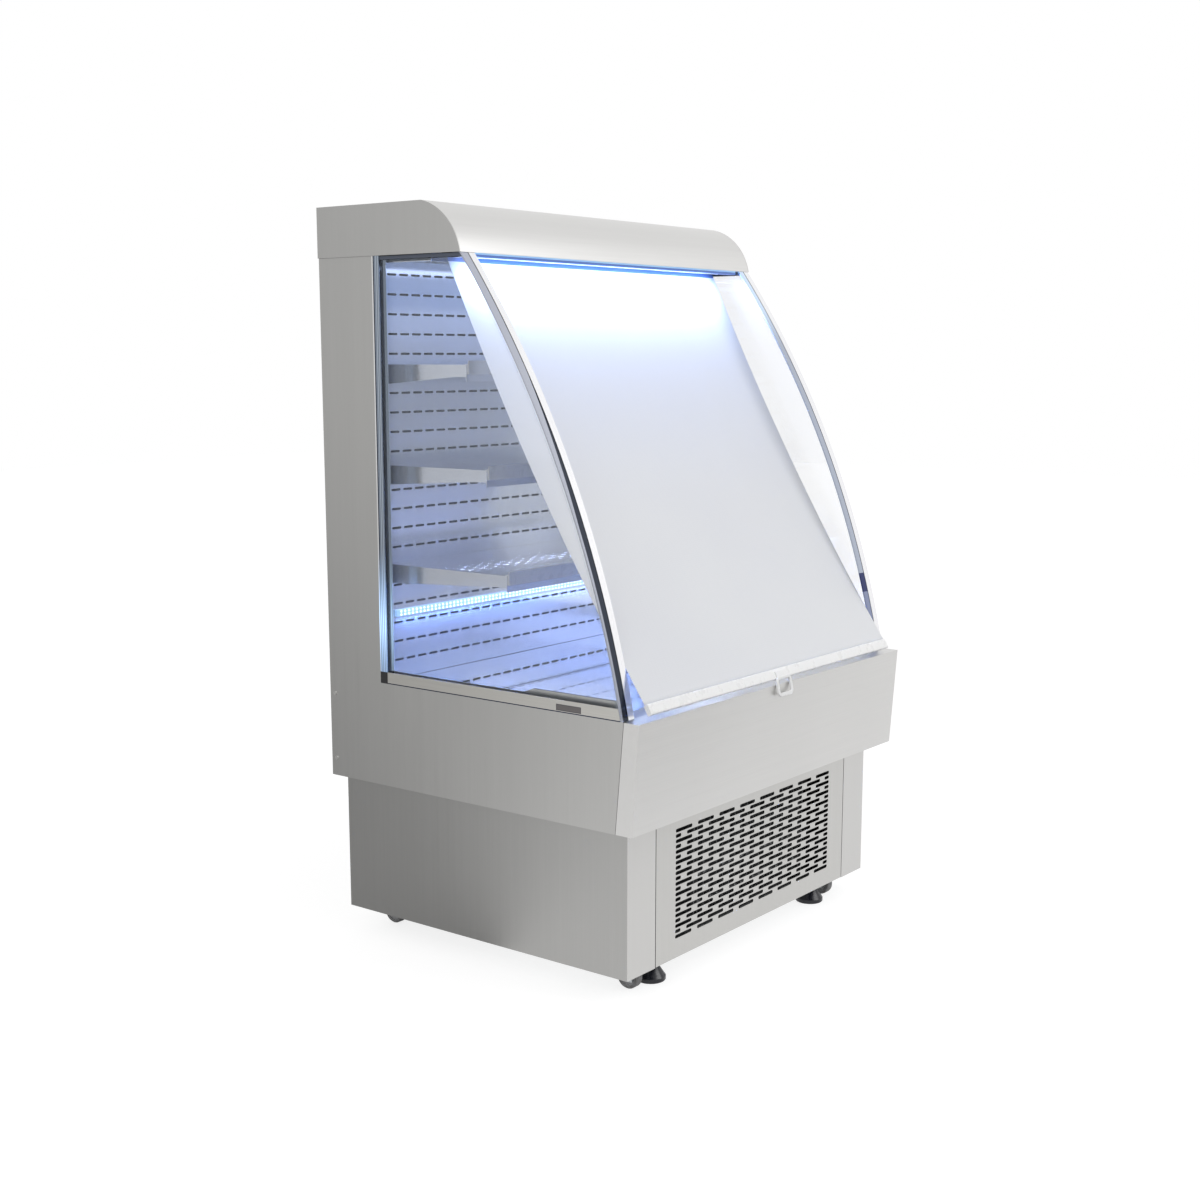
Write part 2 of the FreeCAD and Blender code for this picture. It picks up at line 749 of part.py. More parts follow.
CONDENSER_X = (-170, 230)
CONDENSER_FAN_AT = (30, 205)
CONDENSER_FAN_RADIUS = 92
CONDENSER_TUBE_RADIUS = 4.5
CONDENSER_TUBE_ROWS = 4
CONDENSER_TUBE_COLUMNS = 2
CONDENSER_FINS = 18


def condenser():
    """Finned coil behind the grille with a shroud that carries the fan motor, and the fan."""
    low_x, high_x = CONDENSER_X
    fan_x, fan_z = CONDENSER_FAN_AT
    floor = dims.tray_height + 2
    coil = finned_coil("condenser_bank", CONDENSER_X, deep(670, 715), (floor + 20, 330),
                       CONDENSER_TUBE_RADIUS, CONDENSER_TUBE_ROWS, CONDENSER_TUBE_COLUMNS, CONDENSER_FINS)
    frame = cut("shroud_frame",
                box("shroud_block", (low_x - 14, high_x + 14), deep(612, 716), (floor, 338)),
                [box("shroud_room", (low_x - 12, high_x + 12), deep(614, 717), (floor + 2, 336)),
                 cylinder("shroud_mouth", (fan_x, depth(620), fan_z), CONDENSER_FAN_RADIUS + 6, 20, "Y")])
    motor = cylinder("condenser_motor", (fan_x, depth(584), fan_z), 32, 40, "Y")
    shaft = cylinder("condenser_shaft", (fan_x, depth(618), fan_z), 4, 36, "Y")
    arms = [box("motor_bar", (fan_x - 126, fan_x + 126), deep(575, 579), (fan_z - 9, fan_z + 9))]
    for name, lean in (("left", -1), ("right", 1)):
        edge = fan_x + 123 * lean
        arms.append(box("motor_leg_" + name, (edge - 3, edge + 3), deep(575, 614), (fan_z - 9, fan_z + 9)))
    keep(fuse("condenser_unit", [coil, frame, motor, shaft] + arms), "condenser_coil")
    rotor = fan_rotor("condenser_rotor", CONDENSER_FAN_RADIUS, 30, 4.06, 26, 5)
    stand(rotor, fan_x, depth(615), fan_z, "Y")
    keep(rotor, "condenser_fan")


def condensate_pan():
    """Open pan that takes the melt water from the well."""
    floor = dims.tray_height + 2
    shell = box("pan_shell", (60, 320), deep(180, 400), (floor, floor + 60))
    room = box("pan_room", (62, 318), deep(182, 398), (floor + 2, floor + 61))
    keep(cut("pan", shell, [room]), "condensate_pan")


# ---------------------------------------------------------------- well

LEDGE = 20.0
LINER_HALF_WIDTH = 470.0
CAVITY_REAR = 40.0
CAVITY_FRONT = 720.0
TUB_FRONT = 765.0
TUB_FLOOR = 382.0
SIDE_SEAM_TOP = 773.0
SIDE_SEAM_FOOT = 754.0
SEAM_GAP = 0.6
LIP_FOLD = 18.0


def well_side_panel(name, side):
    """Side sheet of the well with a folded top flange; its front edge leans with the front panel."""
    body = new_body("well_side_" + name)
    outline = [
        (depth(0), dims.well_bottom), (depth(SIDE_SEAM_FOOT), dims.well_bottom),
        (depth(SIDE_SEAM_TOP), dims.well_top), (depth(0), dims.well_top),
    ]
    outer = across(side, half_width - skin, half_width)
    prism(body, "well_side_sheet_" + name, "YZ_Plane", outline, outer[0], skin)
    flange = [
        (depth(0), dims.well_top - skin), (depth(SIDE_SEAM_TOP - 1), dims.well_top - skin),
        (depth(SIDE_SEAM_TOP), dims.well_top), (depth(0), dims.well_top),
    ]
    reach = across(side, half_width - dims.glass_unit, half_width)
    prism(body, "well_side_flange_" + name, "YZ_Plane", flange, reach[0], dims.glass_unit)
    keep(body, "well_side_panel_" + name)


def front_bumper_panel():
    """Leaning front sheet with a bottom return, a folded lip over the edge of the tub and two side ends."""
    body = new_body("bumper")
    top, foot = dims.well_top, dims.well_bottom
    front, low_front = dims.cabinet_depth, dims.cabinet_depth - dims.front_lean
    wide_rear = SIDE_SEAM_TOP + 1.0
    section = [
        (depth(low_front), foot), (depth(front), top), (depth(wide_rear), top),
        (depth(wide_rear), top - skin), (depth(front - skin - 0.1), top - skin),
        (depth(low_front - skin), foot + skin), (depth(low_front - 15), foot + skin),
        (depth(low_front - 15), foot),
    ]
    prism(body, "bumper_sheet", "YZ_Plane", section, -half_width, dims.overall_width)
    lip = [
        (depth(wide_rear), top), (depth(TUB_FRONT), top), (depth(TUB_FRONT), top - LIP_FOLD),
        (depth(TUB_FRONT + skin), top - LIP_FOLD), (depth(TUB_FRONT + skin), top - skin),
        (depth(wide_rear), top - skin),
    ]
    lip_half = half_width - dims.glass_unit - 0.5
    prism(body, "bumper_lip", "YZ_Plane", lip, -lip_half, lip_half * 2)
    end = [
        (depth(SIDE_SEAM_FOOT + SEAM_GAP), foot), (depth(low_front), foot), (depth(front), top),
        (depth(SIDE_SEAM_TOP + SEAM_GAP), top),
    ]
    for name, side in SIDES:
        span = across(side, half_width - skin, half_width)
        prism(body, "bumper_end_" + name, "YZ_Plane", end, span[0], skin)
    keep(body, "front_bumper_panel")


def well_tub():
    """Foamed tub of the well: a lower room for the coil, a ledge for the deck and a drain."""
    low, high = dims.well_bottom, dims.well_top - skin
    ledge = dims.deck_top - skin - 0.3
    room = deep(CAVITY_REAR, CAVITY_FRONT)
    shell = box("tub_shell", both_ways(half_width - skin), deep(0, TUB_FRONT), (low, high))
    lower = box("tub_lower_room", both_ways(LINER_HALF_WIDTH - LEDGE), room, (TUB_FLOOR, high + 1))
    upper = box("tub_upper_room", both_ways(LINER_HALF_WIDTH), room, (ledge, high + 1))
    rooms = fuse("tub_rooms", [lower, upper])
    drain = cylinder("tub_drain", (190, depth(290), low - 1), 9, TUB_FLOOR - low + 2)
    keep(cut("tub", shell, [rooms, drain]), "well_tub")


DECK_FRONT = 718.0
DECK_SLOT_HEIGHT = 5.0


def deck_panel():
    """Lift-out bottom shelf: slotted sheet with stiffening folds, and the return air slots at its front."""
    sheet, fold = float(skin), 18.0
    half = LINER_HALF_WIDTH - 2.0
    pitch, length = float(dims.slot_pitch), float(dims.slot_length)
    rear, front = -(float(dims.wall_depth) + 2.0), -DECK_FRONT
    slots = []
    for row in range(6):
        level = -(float(dims.wall_depth) + 12.0 + row * float(dims.deck_pitch))
        slots += slot_row(level, 25, pitch, length, DECK_SLOT_HEIGHT)
    for level in (-655.0, -672.0, -689.0):
        slots += slot_row(level, 10, 88.0, 74.0, 8.0)
    shape = holed(rectangle(-half, half, front, rear), slots, sheet)
    inner = LINER_HALF_WIDTH - LEDGE - 2.0
    folds = [
        block((-inner, -inner + sheet), (front + 3, rear - 1), (-fold, 0)),
        block((inner - sheet, inner), (front + 3, rear - 1), (-fold, 0)),
        block((-inner, inner), (front + 3, front + 3 + sheet), (-fold, 0)),
        block((-inner, inner), (rear - 1 - sheet, rear - 1), (-fold, 0)),
    ]
    shape = shape.multiFuse(folds).removeSplitter()
    at = Vector(0, float(depth(0)), float(dims.deck_top) - sheet)
    keep(shaped("deck", shape, Placement(at, Rotation())), "deck_panel")


EVAPORATOR_FAN_X = 220.0
EVAPORATOR_FAN_HEIGHT = 426.0
EVAPORATOR_FAN_RADIUS = 38.0
FAN_PLATE_DEPTH = 150.0
EVAPORATOR_TUBE_RADIUS = 4.75
EVAPORATOR_TUBE_ROWS = 2
EVAPORATOR_TUBE_COLUMNS = 5
EVAPORATOR_FINS = 38


def evaporator():
    """Finned coil under the deck, held at both ends by plates that stand on the floor of the tub."""
    coil = finned_coil("evaporator_bank", (-380, 380), deep(230, 430), (396, 456),
                       EVAPORATOR_TUBE_RADIUS, EVAPORATOR_TUBE_ROWS, EVAPORATOR_TUBE_COLUMNS,
                       EVAPORATOR_FINS)
    ends = [box("coil_foot_" + name, across(side, 386, 388), deep(226, 434), (TUB_FLOOR, 458))
            for name, side in SIDES]
    keep(fuse("evaporator_unit", [coil] + ends), "evaporator_coil")


def fan_plate():
    """Plate across the air duct with two mouths, and a motor on a bracket in front of each mouth."""
    level = EVAPORATOR_FAN_HEIGHT
    front = FAN_PLATE_DEPTH + 2
    sheet = box("fan_sheet", both_ways(LINER_HALF_WIDTH - LEDGE - 0.5), deep(FAN_PLATE_DEPTH, front),
                (TUB_FLOOR, 464))
    mouths = [cylinder("fan_mouth_" + name, (EVAPORATOR_FAN_X * side, depth(front + 1), level),
                       EVAPORATOR_FAN_RADIUS + 3, 4, "Y") for name, side in SIDES]
    parts = [cut("fan_plate_sheet", sheet, mouths)]
    for name, side in SIDES:
        x = EVAPORATOR_FAN_X * side
        parts.append(cylinder("fan_motor_" + name, (x, depth(front + 42), level), 17, 30, "Y"))
        parts.append(cylinder("fan_shaft_" + name, (x, depth(front + 14), level), FAN_SHAFT_RADIUS, 24, "Y"))
        parts.append(box("fan_bar_" + name, (x - 52, x + 52), deep(front + 36, front + 39),
                         (level - 6, level + 6)))
        for edge, lean in (("near", -1), ("far", 1)):
            leg = x + 50.5 * lean
            parts.append(box(f"fan_leg_{edge}_{name}", (leg - 1.5, leg + 1.5), deep(front, front + 39),
                             (level - 6, level + 6)))
    keep(fuse("fan_carrier", parts), "fan_plate")


FAN_SHAFT_RADIUS = 2.5
RUNNING_GAP = 0.06


def evaporator_fans():
    """Two rotors on the motor shafts, inside the mouths of the fan plate."""
    for name, side in SIDES:
        rotor = fan_rotor("rotor_" + name, EVAPORATOR_FAN_RADIUS, 12, FAN_SHAFT_RADIUS + RUNNING_GAP, 16, 5)
        stand(rotor, EVAPORATOR_FAN_X * side, depth(FAN_PLATE_DEPTH + 9), EVAPORATOR_FAN_HEIGHT, "Y")
        keep(rotor, "evaporator_fan_" + name)


# ---------------------------------------------------------------- column

UPRIGHT_INNER = 432.0
UPRIGHT_OUTER = 458.0
SOFFIT_HEIGHT = 1412.0


def column_side_panel(name, side):
    """Side sheet of the column with a folded front edge."""
    fold = 20
    inner = half_width - skin
    plan = [
        (half_width, 0), (half_width, dims.column_depth), (half_width - fold, dims.column_depth),
        (half_width - fold, dims.column_depth - skin), (inner, dims.column_depth - skin), (inner, 0),
    ]
    points = [(x if side > 0 else -x, depth(distance)) for x, distance in plan]
    body = new_body("column_side_" + name)
    prism(body, "column_side_sheet_" + name, "XY_Plane", points, dims.well_top,
          dims.hood_bottom - dims.well_top)
    keep(body, "column_side_panel_" + name)


def rear_insulated_panel():
    """Foamed rear panel of the column and the hood."""
    panel = box("rear_foamed", both_ways(half_width - skin), deep(0, dims.rear_foam),
                (dims.well_top, dims.hood_bottom))
    keep(panel, "rear_insulated_panel")


WALL_ROWS = 23
WALL_SEAM_ROW = 21
WALL_SLOT_HEIGHT = 4.6
SLOTS_PER_ROW = 25


def back_wall_panel():
    """Slotted air wall: rows of slots, and a pressed line in place of the row where the lower wall begins."""
    sheet, half = float(skin), UPRIGHT_INNER
    pitch, length = float(dims.slot_pitch), float(dims.slot_length)
    low, high = float(dims.deck_top) + 1.0, SOFFIT_HEIGHT
    levels = [float(dims.row_top) - row * float(dims.row_pitch) for row in range(WALL_ROWS)]
    seam = levels.pop(WALL_SEAM_ROW)
    slots = []
    for level in levels:
        slots += slot_row(level, SLOTS_PER_ROW, pitch, length, WALL_SLOT_HEIGHT)
    shape = holed(rectangle(-half, half, low, high), slots, sheet)
    shape = shape.cut(block((-half, half), (seam - 0.8, seam + 0.8), (sheet - 0.7, sheet + 1)))
    at = Vector(0, float(depth(dims.wall_depth - skin)), 0)
    keep(shaped("air_wall", shape, Placement(at, UPRIGHT)), "back_wall_panel")


def shelf_levels():
    """Name, surface height and front depth of each shelf, from the top."""
    for index, name in enumerate(("top", "middle", "bottom")):
        height = float(dims.shelf_top_height) - index * float(dims.shelf_drop)
        front = float(dims.shelf_top_front) + index * float(dims.shelf_growth)
        yield name, height, front


HOOK_SLOT = 31.0
HOOK_SLOT_WIDTH = 4.5
HOOK_SLOT_DROPS = (4.0, 52.0)
HOOK_SLOT_X = 443.8
UPRIGHT_FLANGE = 34.0


def shelf_uprights():
    """Two channels beside the air wall with a pair of upright slots for the hooks of each shelf.

    A wing of each channel reaches the side of the column; below the rim of the well it is narrower.
    """
    sheet = float(skin)
    foot, rim = float(dims.deck_top) - sheet - 0.3, float(dims.well_top)
    wing, low_wing = float(half_width - skin), LINER_HALF_WIDTH - 0.5
    channels = []
    for name, side in SIDES:
        face = [(UPRIGHT_INNER, foot), (low_wing, foot), (low_wing, rim), (wing, rim), (wing, SOFFIT_HEIGHT),
                (UPRIGHT_INNER, SOFFIT_HEIGHT), (UPRIGHT_INNER, foot)]
        outline = Part.makePolygon([Vector(side * u, v, 0) for u, v in face])
        middle = side * HOOK_SLOT_X
        holes = []
        for _, height, _ in shelf_levels():
            for drop in HOOK_SLOT_DROPS:
                holes.append(rectangle(middle - HOOK_SLOT_WIDTH / 2, middle + HOOK_SLOT_WIDTH / 2,
                                       height - drop - HOOK_SLOT, height - drop))
        shape = holed(outline, holes, sheet)
        for edge in (UPRIGHT_INNER, UPRIGHT_OUTER - sheet):
            span = sorted((side * edge, side * (edge + sheet)))
            shape = shape.fuse(block(span, (foot, SOFFIT_HEIGHT), (-UPRIGHT_FLANGE, 0)))
        at = Vector(0, float(depth(dims.wall_depth - skin)), 0)
        channels.append(shaped("upright_" + name, shape.removeSplitter(), Placement(at, UPRIGHT)))
    keep(group("uprights", channels), "shelf_uprights")


# ---------------------------------------------------------------- side glazing

PANE_SET_BACK = 1.5
TRIM_SHEET = 3.0
PANE_EDGE_GAP = 0.3
PANE_FOOT = 576.0
PANE_HEAD = 1424.0
PANE_REAR = 156.0
SEAL_WIDTH = 9.0


def pane_outline(rim):
    """Side outline of a pane, moved inwards by a rim."""
    inset = TRIM_SHEET + PANE_EDGE_GAP + rim
    low, high, rear = PANE_FOOT + rim, PANE_HEAD - rim, PANE_REAR + rim
    return side_outline((rear, low), glass_edge.at(low, inset), glass_edge.up(low, high, inset), (rear, high))


def side_glass(name, side):
    """Double glazing: outer pane, inner pane and the edge seal between them."""
    unit, pane = float(dims.glass_unit), float(dims.pane)
    outer_low = float(half_width) - PANE_SET_BACK - pane
    inner_low = float(half_width) - unit + PANE_SET_BACK
    seal_low, seal_high = inner_low + pane, outer_low
    parts = []
    gap = seal_high - seal_low
    seal = side_slab(pane_outline(0.0), gap).cut(side_slab(pane_outline(SEAL_WIDTH), gap))
    for part, low, width, shape in (
            ("outer_pane", outer_low, pane, side_slab(pane_outline(0.0), pane)),
            ("inner_pane", inner_low, pane, side_slab(pane_outline(0.0), pane)),
            ("edge_seal", seal_low, gap, seal)):
        start = low if side > 0 else -(low + width)
        parts.append(shaped(f"{part}_{name}", shape, Placement(Vector(start, 0, 0), Rotation())))
    keep(group("glass_" + name, parts), "side_glass_" + name)


GUARD_TOP = 602.0
GUARD_REAR = 520.0
RAIL_REAR = 170.0
RAIL_SHEET = 1.2
RAIL_WEB = 7.0


def behind_trim(height):
    """Depth just behind the curved trim at a height."""
    return size(glass_edge.at(float(height), TRIM_SHEET + 0.4)[0])


def glass_bottom_rail(name, side):
    """Lower rail: an open channel for the panes, with a taller guard on the inner wall at the front."""
    body = new_body("bottom_rail_" + name)
    foot, top = dims.well_top, dims.rail_top
    inner, outer = half_width - dims.glass_unit, half_width
    rear, front = depth(RAIL_REAR), depth(behind_trim(foot))
    front_top = depth(behind_trim(top))
    web = [(rear, foot), (front, foot), (depth(behind_trim(foot + RAIL_WEB)), foot + RAIL_WEB),
           (rear, foot + RAIL_WEB)]
    prism(body, "rail_web_" + name, "YZ_Plane", web, across(side, inner, outer)[0], dims.glass_unit)
    wall = [(rear, foot), (front, foot), (front_top, top), (rear, top)]
    outer_start = across(side, outer - RAIL_SHEET, outer)[0]
    prism(body, "rail_outer_" + name, "YZ_Plane", wall, outer_start, RAIL_SHEET)
    guard = [
        (rear, foot), (front, foot), (depth(behind_trim(GUARD_TOP)), GUARD_TOP),
        (depth(GUARD_REAR + 24), GUARD_TOP), (depth(GUARD_REAR), top), (rear, top),
    ]
    inner_start = across(side, inner, inner + RAIL_SHEET)[0]
    prism(body, "rail_inner_" + name, "YZ_Plane", guard, inner_start, RAIL_SHEET)
    keep(body, "glass_bottom_rail_" + name)


def glass_rear_channel(name, side):
    """Upright channel that holds the rear edge of the panes."""
    inner, outer = half_width - dims.glass_unit, half_width
    rear, front = dims.column_depth, dims.column_depth + 20
    plan = [
        (inner, rear), (outer, rear), (outer, front), (outer - RAIL_SHEET, front),
        (outer - RAIL_SHEET, rear + 3), (inner + RAIL_SHEET, rear + 3), (inner + RAIL_SHEET, front),
        (inner, front),
    ]
    points = [(x if side > 0 else -x, depth(distance)) for x, distance in plan]
    body = new_body("rear_channel_" + name)
    prism(body, "rear_channel_sheet_" + name, "XY_Plane", points, dims.rail_top,
          dims.hood_bottom - dims.rail_top)
    keep(body, "glass_rear_channel_" + name)


TRIM_INNER = 461.0
GROOVE_WIDTH = 1.6
GROOVE_DEPTH = 1.2


def glass_front_trim(name, side):
    """Curved strip over the front edge of the panes, with a groove where its inner half begins."""
    low, high = float(dims.well_top), float(dims.hood_bottom)
    outer, unit = float(half_width), float(dims.glass_unit)
    strip = side_outline(glass_edge.at(low), glass_edge.up(low, high), glass_edge.at(high, TRIM_SHEET),
                         glass_edge.down(high, low, TRIM_SHEET))
    shape = side_slab(strip, outer - TRIM_INNER)
    under, over = low - 1.0, high + 1.0
    ring = side_outline(glass_edge.at(under, -1.0), glass_edge.up(under, over, -1.0),
                        glass_edge.at(over, GROOVE_DEPTH), glass_edge.down(over, under, GROOVE_DEPTH))
    groove = side_slab(ring, GROOVE_WIDTH)
    seam = unit if side < 0 else outer - TRIM_INNER - unit
    groove.translate(Vector(seam - GROOVE_WIDTH / 2, 0, 0))
    start = TRIM_INNER if side > 0 else -outer
    trim = shaped("front_trim_" + name, shape.cut(groove), Placement(Vector(start, 0, 0), Rotation()))
    keep(trim, "glass_front_trim_" + name)


def rail_corner_blocks():
    """Rubber blocks under the foot of each rear channel, hollowed for the corner of the panes."""
    blocks = []
    for name, side in SIDES:
        body = box("corner_body_" + name, across(side, half_width - dims.glass_unit, half_width),
                   deep(dims.column_depth, RAIL_REAR), (dims.well_top, dims.rail_top))
        pocket = box("corner_pocket_" + name,
                     across(side, half_width - dims.glass_unit + RAIL_SHEET, half_width - RAIL_SHEET),
                     deep(PANE_REAR - 0.2, RAIL_REAR + 1), (PANE_FOOT - 0.2, dims.rail_top + 1))
        blocks.append(cut("corner_block_" + name, body, [pocket]))
    keep(group("corner_blocks", blocks), "rail_corner_blocks")


# ---------------------------------------------------------------- hood

CAP_SHEET = 2.0


def hood_outline(inset):
    """Side outline of the hood, moved inwards on its rear, top and front."""
    low, high, rear = float(dims.hood_bottom), float(dims.top_height) - inset, inset
    if inset == 0:
        return side_outline((rear, low), (rear, high), (float(dims.hood_flat), high),
                            hood_edge.down(high, low))
    top_depth = float(dims.hood_flat) - inset * 0.4
    foot = low - 5.0
    front_top = hood_edge.at(high - 0.2, inset)
    return side_outline((rear, foot), (rear, high), (top_depth, high), front_top,
                        hood_edge.down(high - 0.2, foot, inset))


def hood_cover():
    """One bent sheet: rear, top and rounded front, with a lip under the front edge."""
    sheet = float(skin)
    half = float(half_width + dims.hood_proud) - CAP_SHEET
    low = float(dims.hood_bottom)
    shell = side_slab(hood_outline(0.0), 2 * half).cut(side_slab(hood_outline(sheet), 2 * half))
    reach = float(dims.hood_reach)
    lip = side_slab(side_outline((reach - 0.4, low), (reach - 0.7, low + sheet), (reach - 24, low + sheet),
                                 (reach - 24, low)), 2 * half)
    shape = shell.fuse(lip).removeSplitter()
    keep(shaped("hood_sheet", shape, Placement(Vector(-half, 0, 0), Rotation())), "hood_cover")


def hood_side_cap(name, side):
    """Flat end plate of the hood."""
    outer = float(half_width + dims.hood_proud)
    start = outer - CAP_SHEET if side > 0 else -outer
    shape = side_slab(hood_outline(0.0), CAP_SHEET)
    cap = shaped("hood_cap_" + name, shape, Placement(Vector(start, 0, 0), Rotation()))
    keep(cap, "hood_side_cap_" + name)


OUTLET_HALF_WIDTH = 462.0
OUTLET_REAR = 226.0
OUTLET_FRONT = 278.0
SOFFIT_FRONT = 292.0


def hood_soffit():
    """Underside of the air duct in the hood, with the opening of the air outlet and a front wall."""
    half = half_width - dims.glass_unit
    low = SOFFIT_HEIGHT
    plate = box("soffit_plate", both_ways(half), deep(dims.wall_depth - skin, SOFFIT_FRONT),
                (low, low + skin))
    opening = box("soffit_opening", both_ways(OUTLET_HALF_WIDTH), deep(OUTLET_REAR, OUTLET_FRONT),
                  (low - 1, low + skin + 1))
    wall = box("soffit_wall", both_ways(half), deep(SOFFIT_FRONT - skin, SOFFIT_FRONT),
               (low, dims.top_height - skin - 2.0))
    keep(fuse("soffit", [cut("soffit_sheet", plate, [opening]), wall]), "hood_soffit")


HONEYCOMB_CELL = 6.6
HONEYCOMB_WALL = 1.0
HONEYCOMB_RIM = 5.0
HONEYCOMB_ROWS = 4


def air_outlet_honeycomb():
    """Honeycomb block that straightens the curtain of cold air."""
    row_step = HONEYCOMB_CELL * math.sqrt(3) + HONEYCOMB_WALL
    column_step = row_step * math.sqrt(3) / 2
    half = OUTLET_HALF_WIDTH + HONEYCOMB_RIM
    low, high = -(OUTLET_FRONT + HONEYCOMB_RIM), -(OUTLET_REAR - HONEYCOMB_RIM)
    columns = int((half - HONEYCOMB_RIM - HONEYCOMB_CELL) // column_step) * 2 + 1
    holes = []
    for column in range(columns):
        shift = row_step / 4 if column % 2 else -row_step / 4
        for row in range(HONEYCOMB_ROWS):
            level = (low + high) / 2 + (row - (HONEYCOMB_ROWS - 1) / 2) * row_step + shift
            holes.append(hexagon((column - (columns - 1) / 2) * column_step, level, HONEYCOMB_CELL))
    shape = holed(rectangle(-half, half, low, high), holes, 14.0)
    at = Vector(0, float(depth(0)), SOFFIT_HEIGHT + float(skin))
    keep(shaped("honeycomb", shape, Placement(at, Rotation())), "air_outlet_honeycomb")


WALL_LIGHT_ROW = 18
WALL_LIGHT_HALF_HEIGHT = 7.0
WALL_LIGHT_DEPTH = 7.0


def cabinet_lights():
    """Light strip under the front lip of the hood, and one on the air wall, midway between two slot rows."""
    canopy = box("canopy_strip", both_ways(455), deep(dims.hood_reach - 22, dims.hood_reach - 6),
                 (dims.hood_bottom - 8, dims.hood_bottom))
    level = dims.row_top - (WALL_LIGHT_ROW - 0.5) * dims.row_pitch
    wall = box("wall_strip", both_ways(UPRIGHT_INNER - 7),
               deep(dims.wall_depth, dims.wall_depth + WALL_LIGHT_DEPTH),
               (level - WALL_LIGHT_HALF_HEIGHT, level + WALL_LIGHT_HALF_HEIGHT))
    keep(group("light_strips", [canopy, wall]), "cabinet_lights")


# ---------------------------------------------------------------- night blind

lean_sine = sine(dims.blind_lean)
lean_cosine = cosine(dims.blind_lean)
BLIND_AXIS = Vector(1, 0, 0)
BAR_HALF_HEIGHT = 11.0
BAR_HALF_THICK = 5.0
BAR_HALF_WIDTH = 458.0
TUBE_RADIUS = 16.0


def on_blind(along, out):
    """Y and Z of a place this far up the drawn blind from its bar and this far out to the front."""
    at_depth = dims.blind_foot_depth - along * lean_sine + out * lean_cosine
    height = dims.blind_foot_height + along * lean_cosine + out * lean_sine
    return depth(at_depth), height


def blind_slab(name, x, out, along):
    """Box that lies in the plane of the drawn blind, given out from it and along it."""
    obj = doc.addObject("Part::Box", name)
    bind(obj, "Length", size(x[1]) - x[0])
    bind(obj, "Width", size(out[1]) - out[0])
    bind(obj, "Height", size(along[1]) - along[0])
    y, z = on_blind(size(along[0]), size(out[1]))
    obj.Placement = Placement(Vector(0, 0, 0), Rotation(BLIND_AXIS, -float(dims.blind_lean)))
    for letter, amount in (("x", x[0]), ("y", y), ("z", z)):
        bind(obj, ".Placement.Base." + letter, amount)
    return obj


def blind_roller():
    """Roller tube with plugged ends, and the two brackets with the pins that it turns on."""
    half = 460
    bore, plug = 5 + RUNNING_GAP, 20
    tube = turned("roller", [
        (bore, 0), (TUBE_RADIUS, 0), (TUBE_RADIUS, 2 * half), (bore, 2 * half), (bore, 2 * half - plug),
        (TUBE_RADIUS - 1.5, 2 * half - plug), (TUBE_RADIUS - 1.5, plug), (bore, plug),
    ])
    y, z = on_blind(dims.blind_run, dims.roll_radius)
    stand(tube, -half, y, z, "X")
    keep(tube, "blind_roller_tube")
    brackets = []
    for name, side in SIDES:
        plate = box("bracket_plate_" + name, across(side, half + 3, half + 6), (y - 20, y + 20),
                    (z - 20, z + 30))
        tab = box("bracket_tab_" + name, across(side, half + 3, half_width + dims.hood_proud - CAP_SHEET),
                  (y - 20, y + 20), (z + 27, z + 30))
        pin = cylinder("bracket_pin_" + name, (across(side, half - 12, half + 3)[0], y, z), 5, 15, "X")
        brackets.append(fuse("bracket_" + name, [plate, tab, pin]))
    keep(group("brackets", brackets), "blind_brackets")


CLOTH_SAG = 19.0
CLOTH_HALF_THICK = 0.4


def beside_blind(along, out):
    """Depth and height of a place up the drawn blind from its bar and out to the front, as plain numbers."""
    lean = math.radians(float(dims.blind_lean))
    at_depth = float(dims.blind_foot_depth) - along * math.sin(lean) + out * math.cos(lean)
    return at_depth, float(dims.blind_foot_height) + along * math.cos(lean) + out * math.sin(lean)


def sagging_outline(low, high):
    """Side outline of the cloth: two arcs from the bar to the roller that dip inwards between them."""
    middle, front, back = (low + high) / 2, CLOTH_HALF_THICK, -CLOTH_HALF_THICK
    return side_outline(beside_blind(low, back),
                        (beside_blind(middle, back - CLOTH_SAG), beside_blind(high, back)),
                        beside_blind(high, front),
                        (beside_blind(middle, front - CLOTH_SAG), beside_blind(low, front)))


def blind_fabric():
    """Drawn cloth between the bar and the roller, and the cloth still wound on the tube."""
    half = dims.blind_half_width
    outline = sagging_outline(BAR_HALF_HEIGHT + 0.3, float(dims.blind_run))
    sheet = shaped("drawn_cloth", side_slab(outline, 2 * float(half)),
                   Placement(Vector(-float(half), 0, 0), Rotation()))
    y, z = on_blind(dims.blind_run, dims.roll_radius)
    wound = cut("wound_cloth", cylinder("cloth_roll", (-half, y, z), dims.roll_radius - 0.5, half * 2, "X"),
                [cylinder("cloth_core", (-half - 1, y, z), TUBE_RADIUS + 0.3, half * 2 + 2, "X")])
    keep(group("cloth", [sheet, wound]), "blind_fabric")


def blind_bottom_bar():
    """Weighted bar along the lower edge of the cloth, with rounded long edges."""
    slab = blind_slab("bar_blank", both_ways(BAR_HALF_WIDTH), (-BAR_HALF_THICK, BAR_HALF_THICK),
                      (-BAR_HALF_HEIGHT, BAR_HALF_HEIGHT))
    slab.recompute()
    long_edges = [index for index, edge in enumerate(slab.Shape.Edges, 1) if edge.Length > BAR_HALF_WIDTH]
    rounded = doc.addObject("Part::Fillet", "bar_rounded")
    rounded.Base = slab
    rounded.Edges = [(index, BAR_EDGE_RADIUS, BAR_EDGE_RADIUS) for index in long_edges]
    keep(rounded, "blind_bottom_bar")


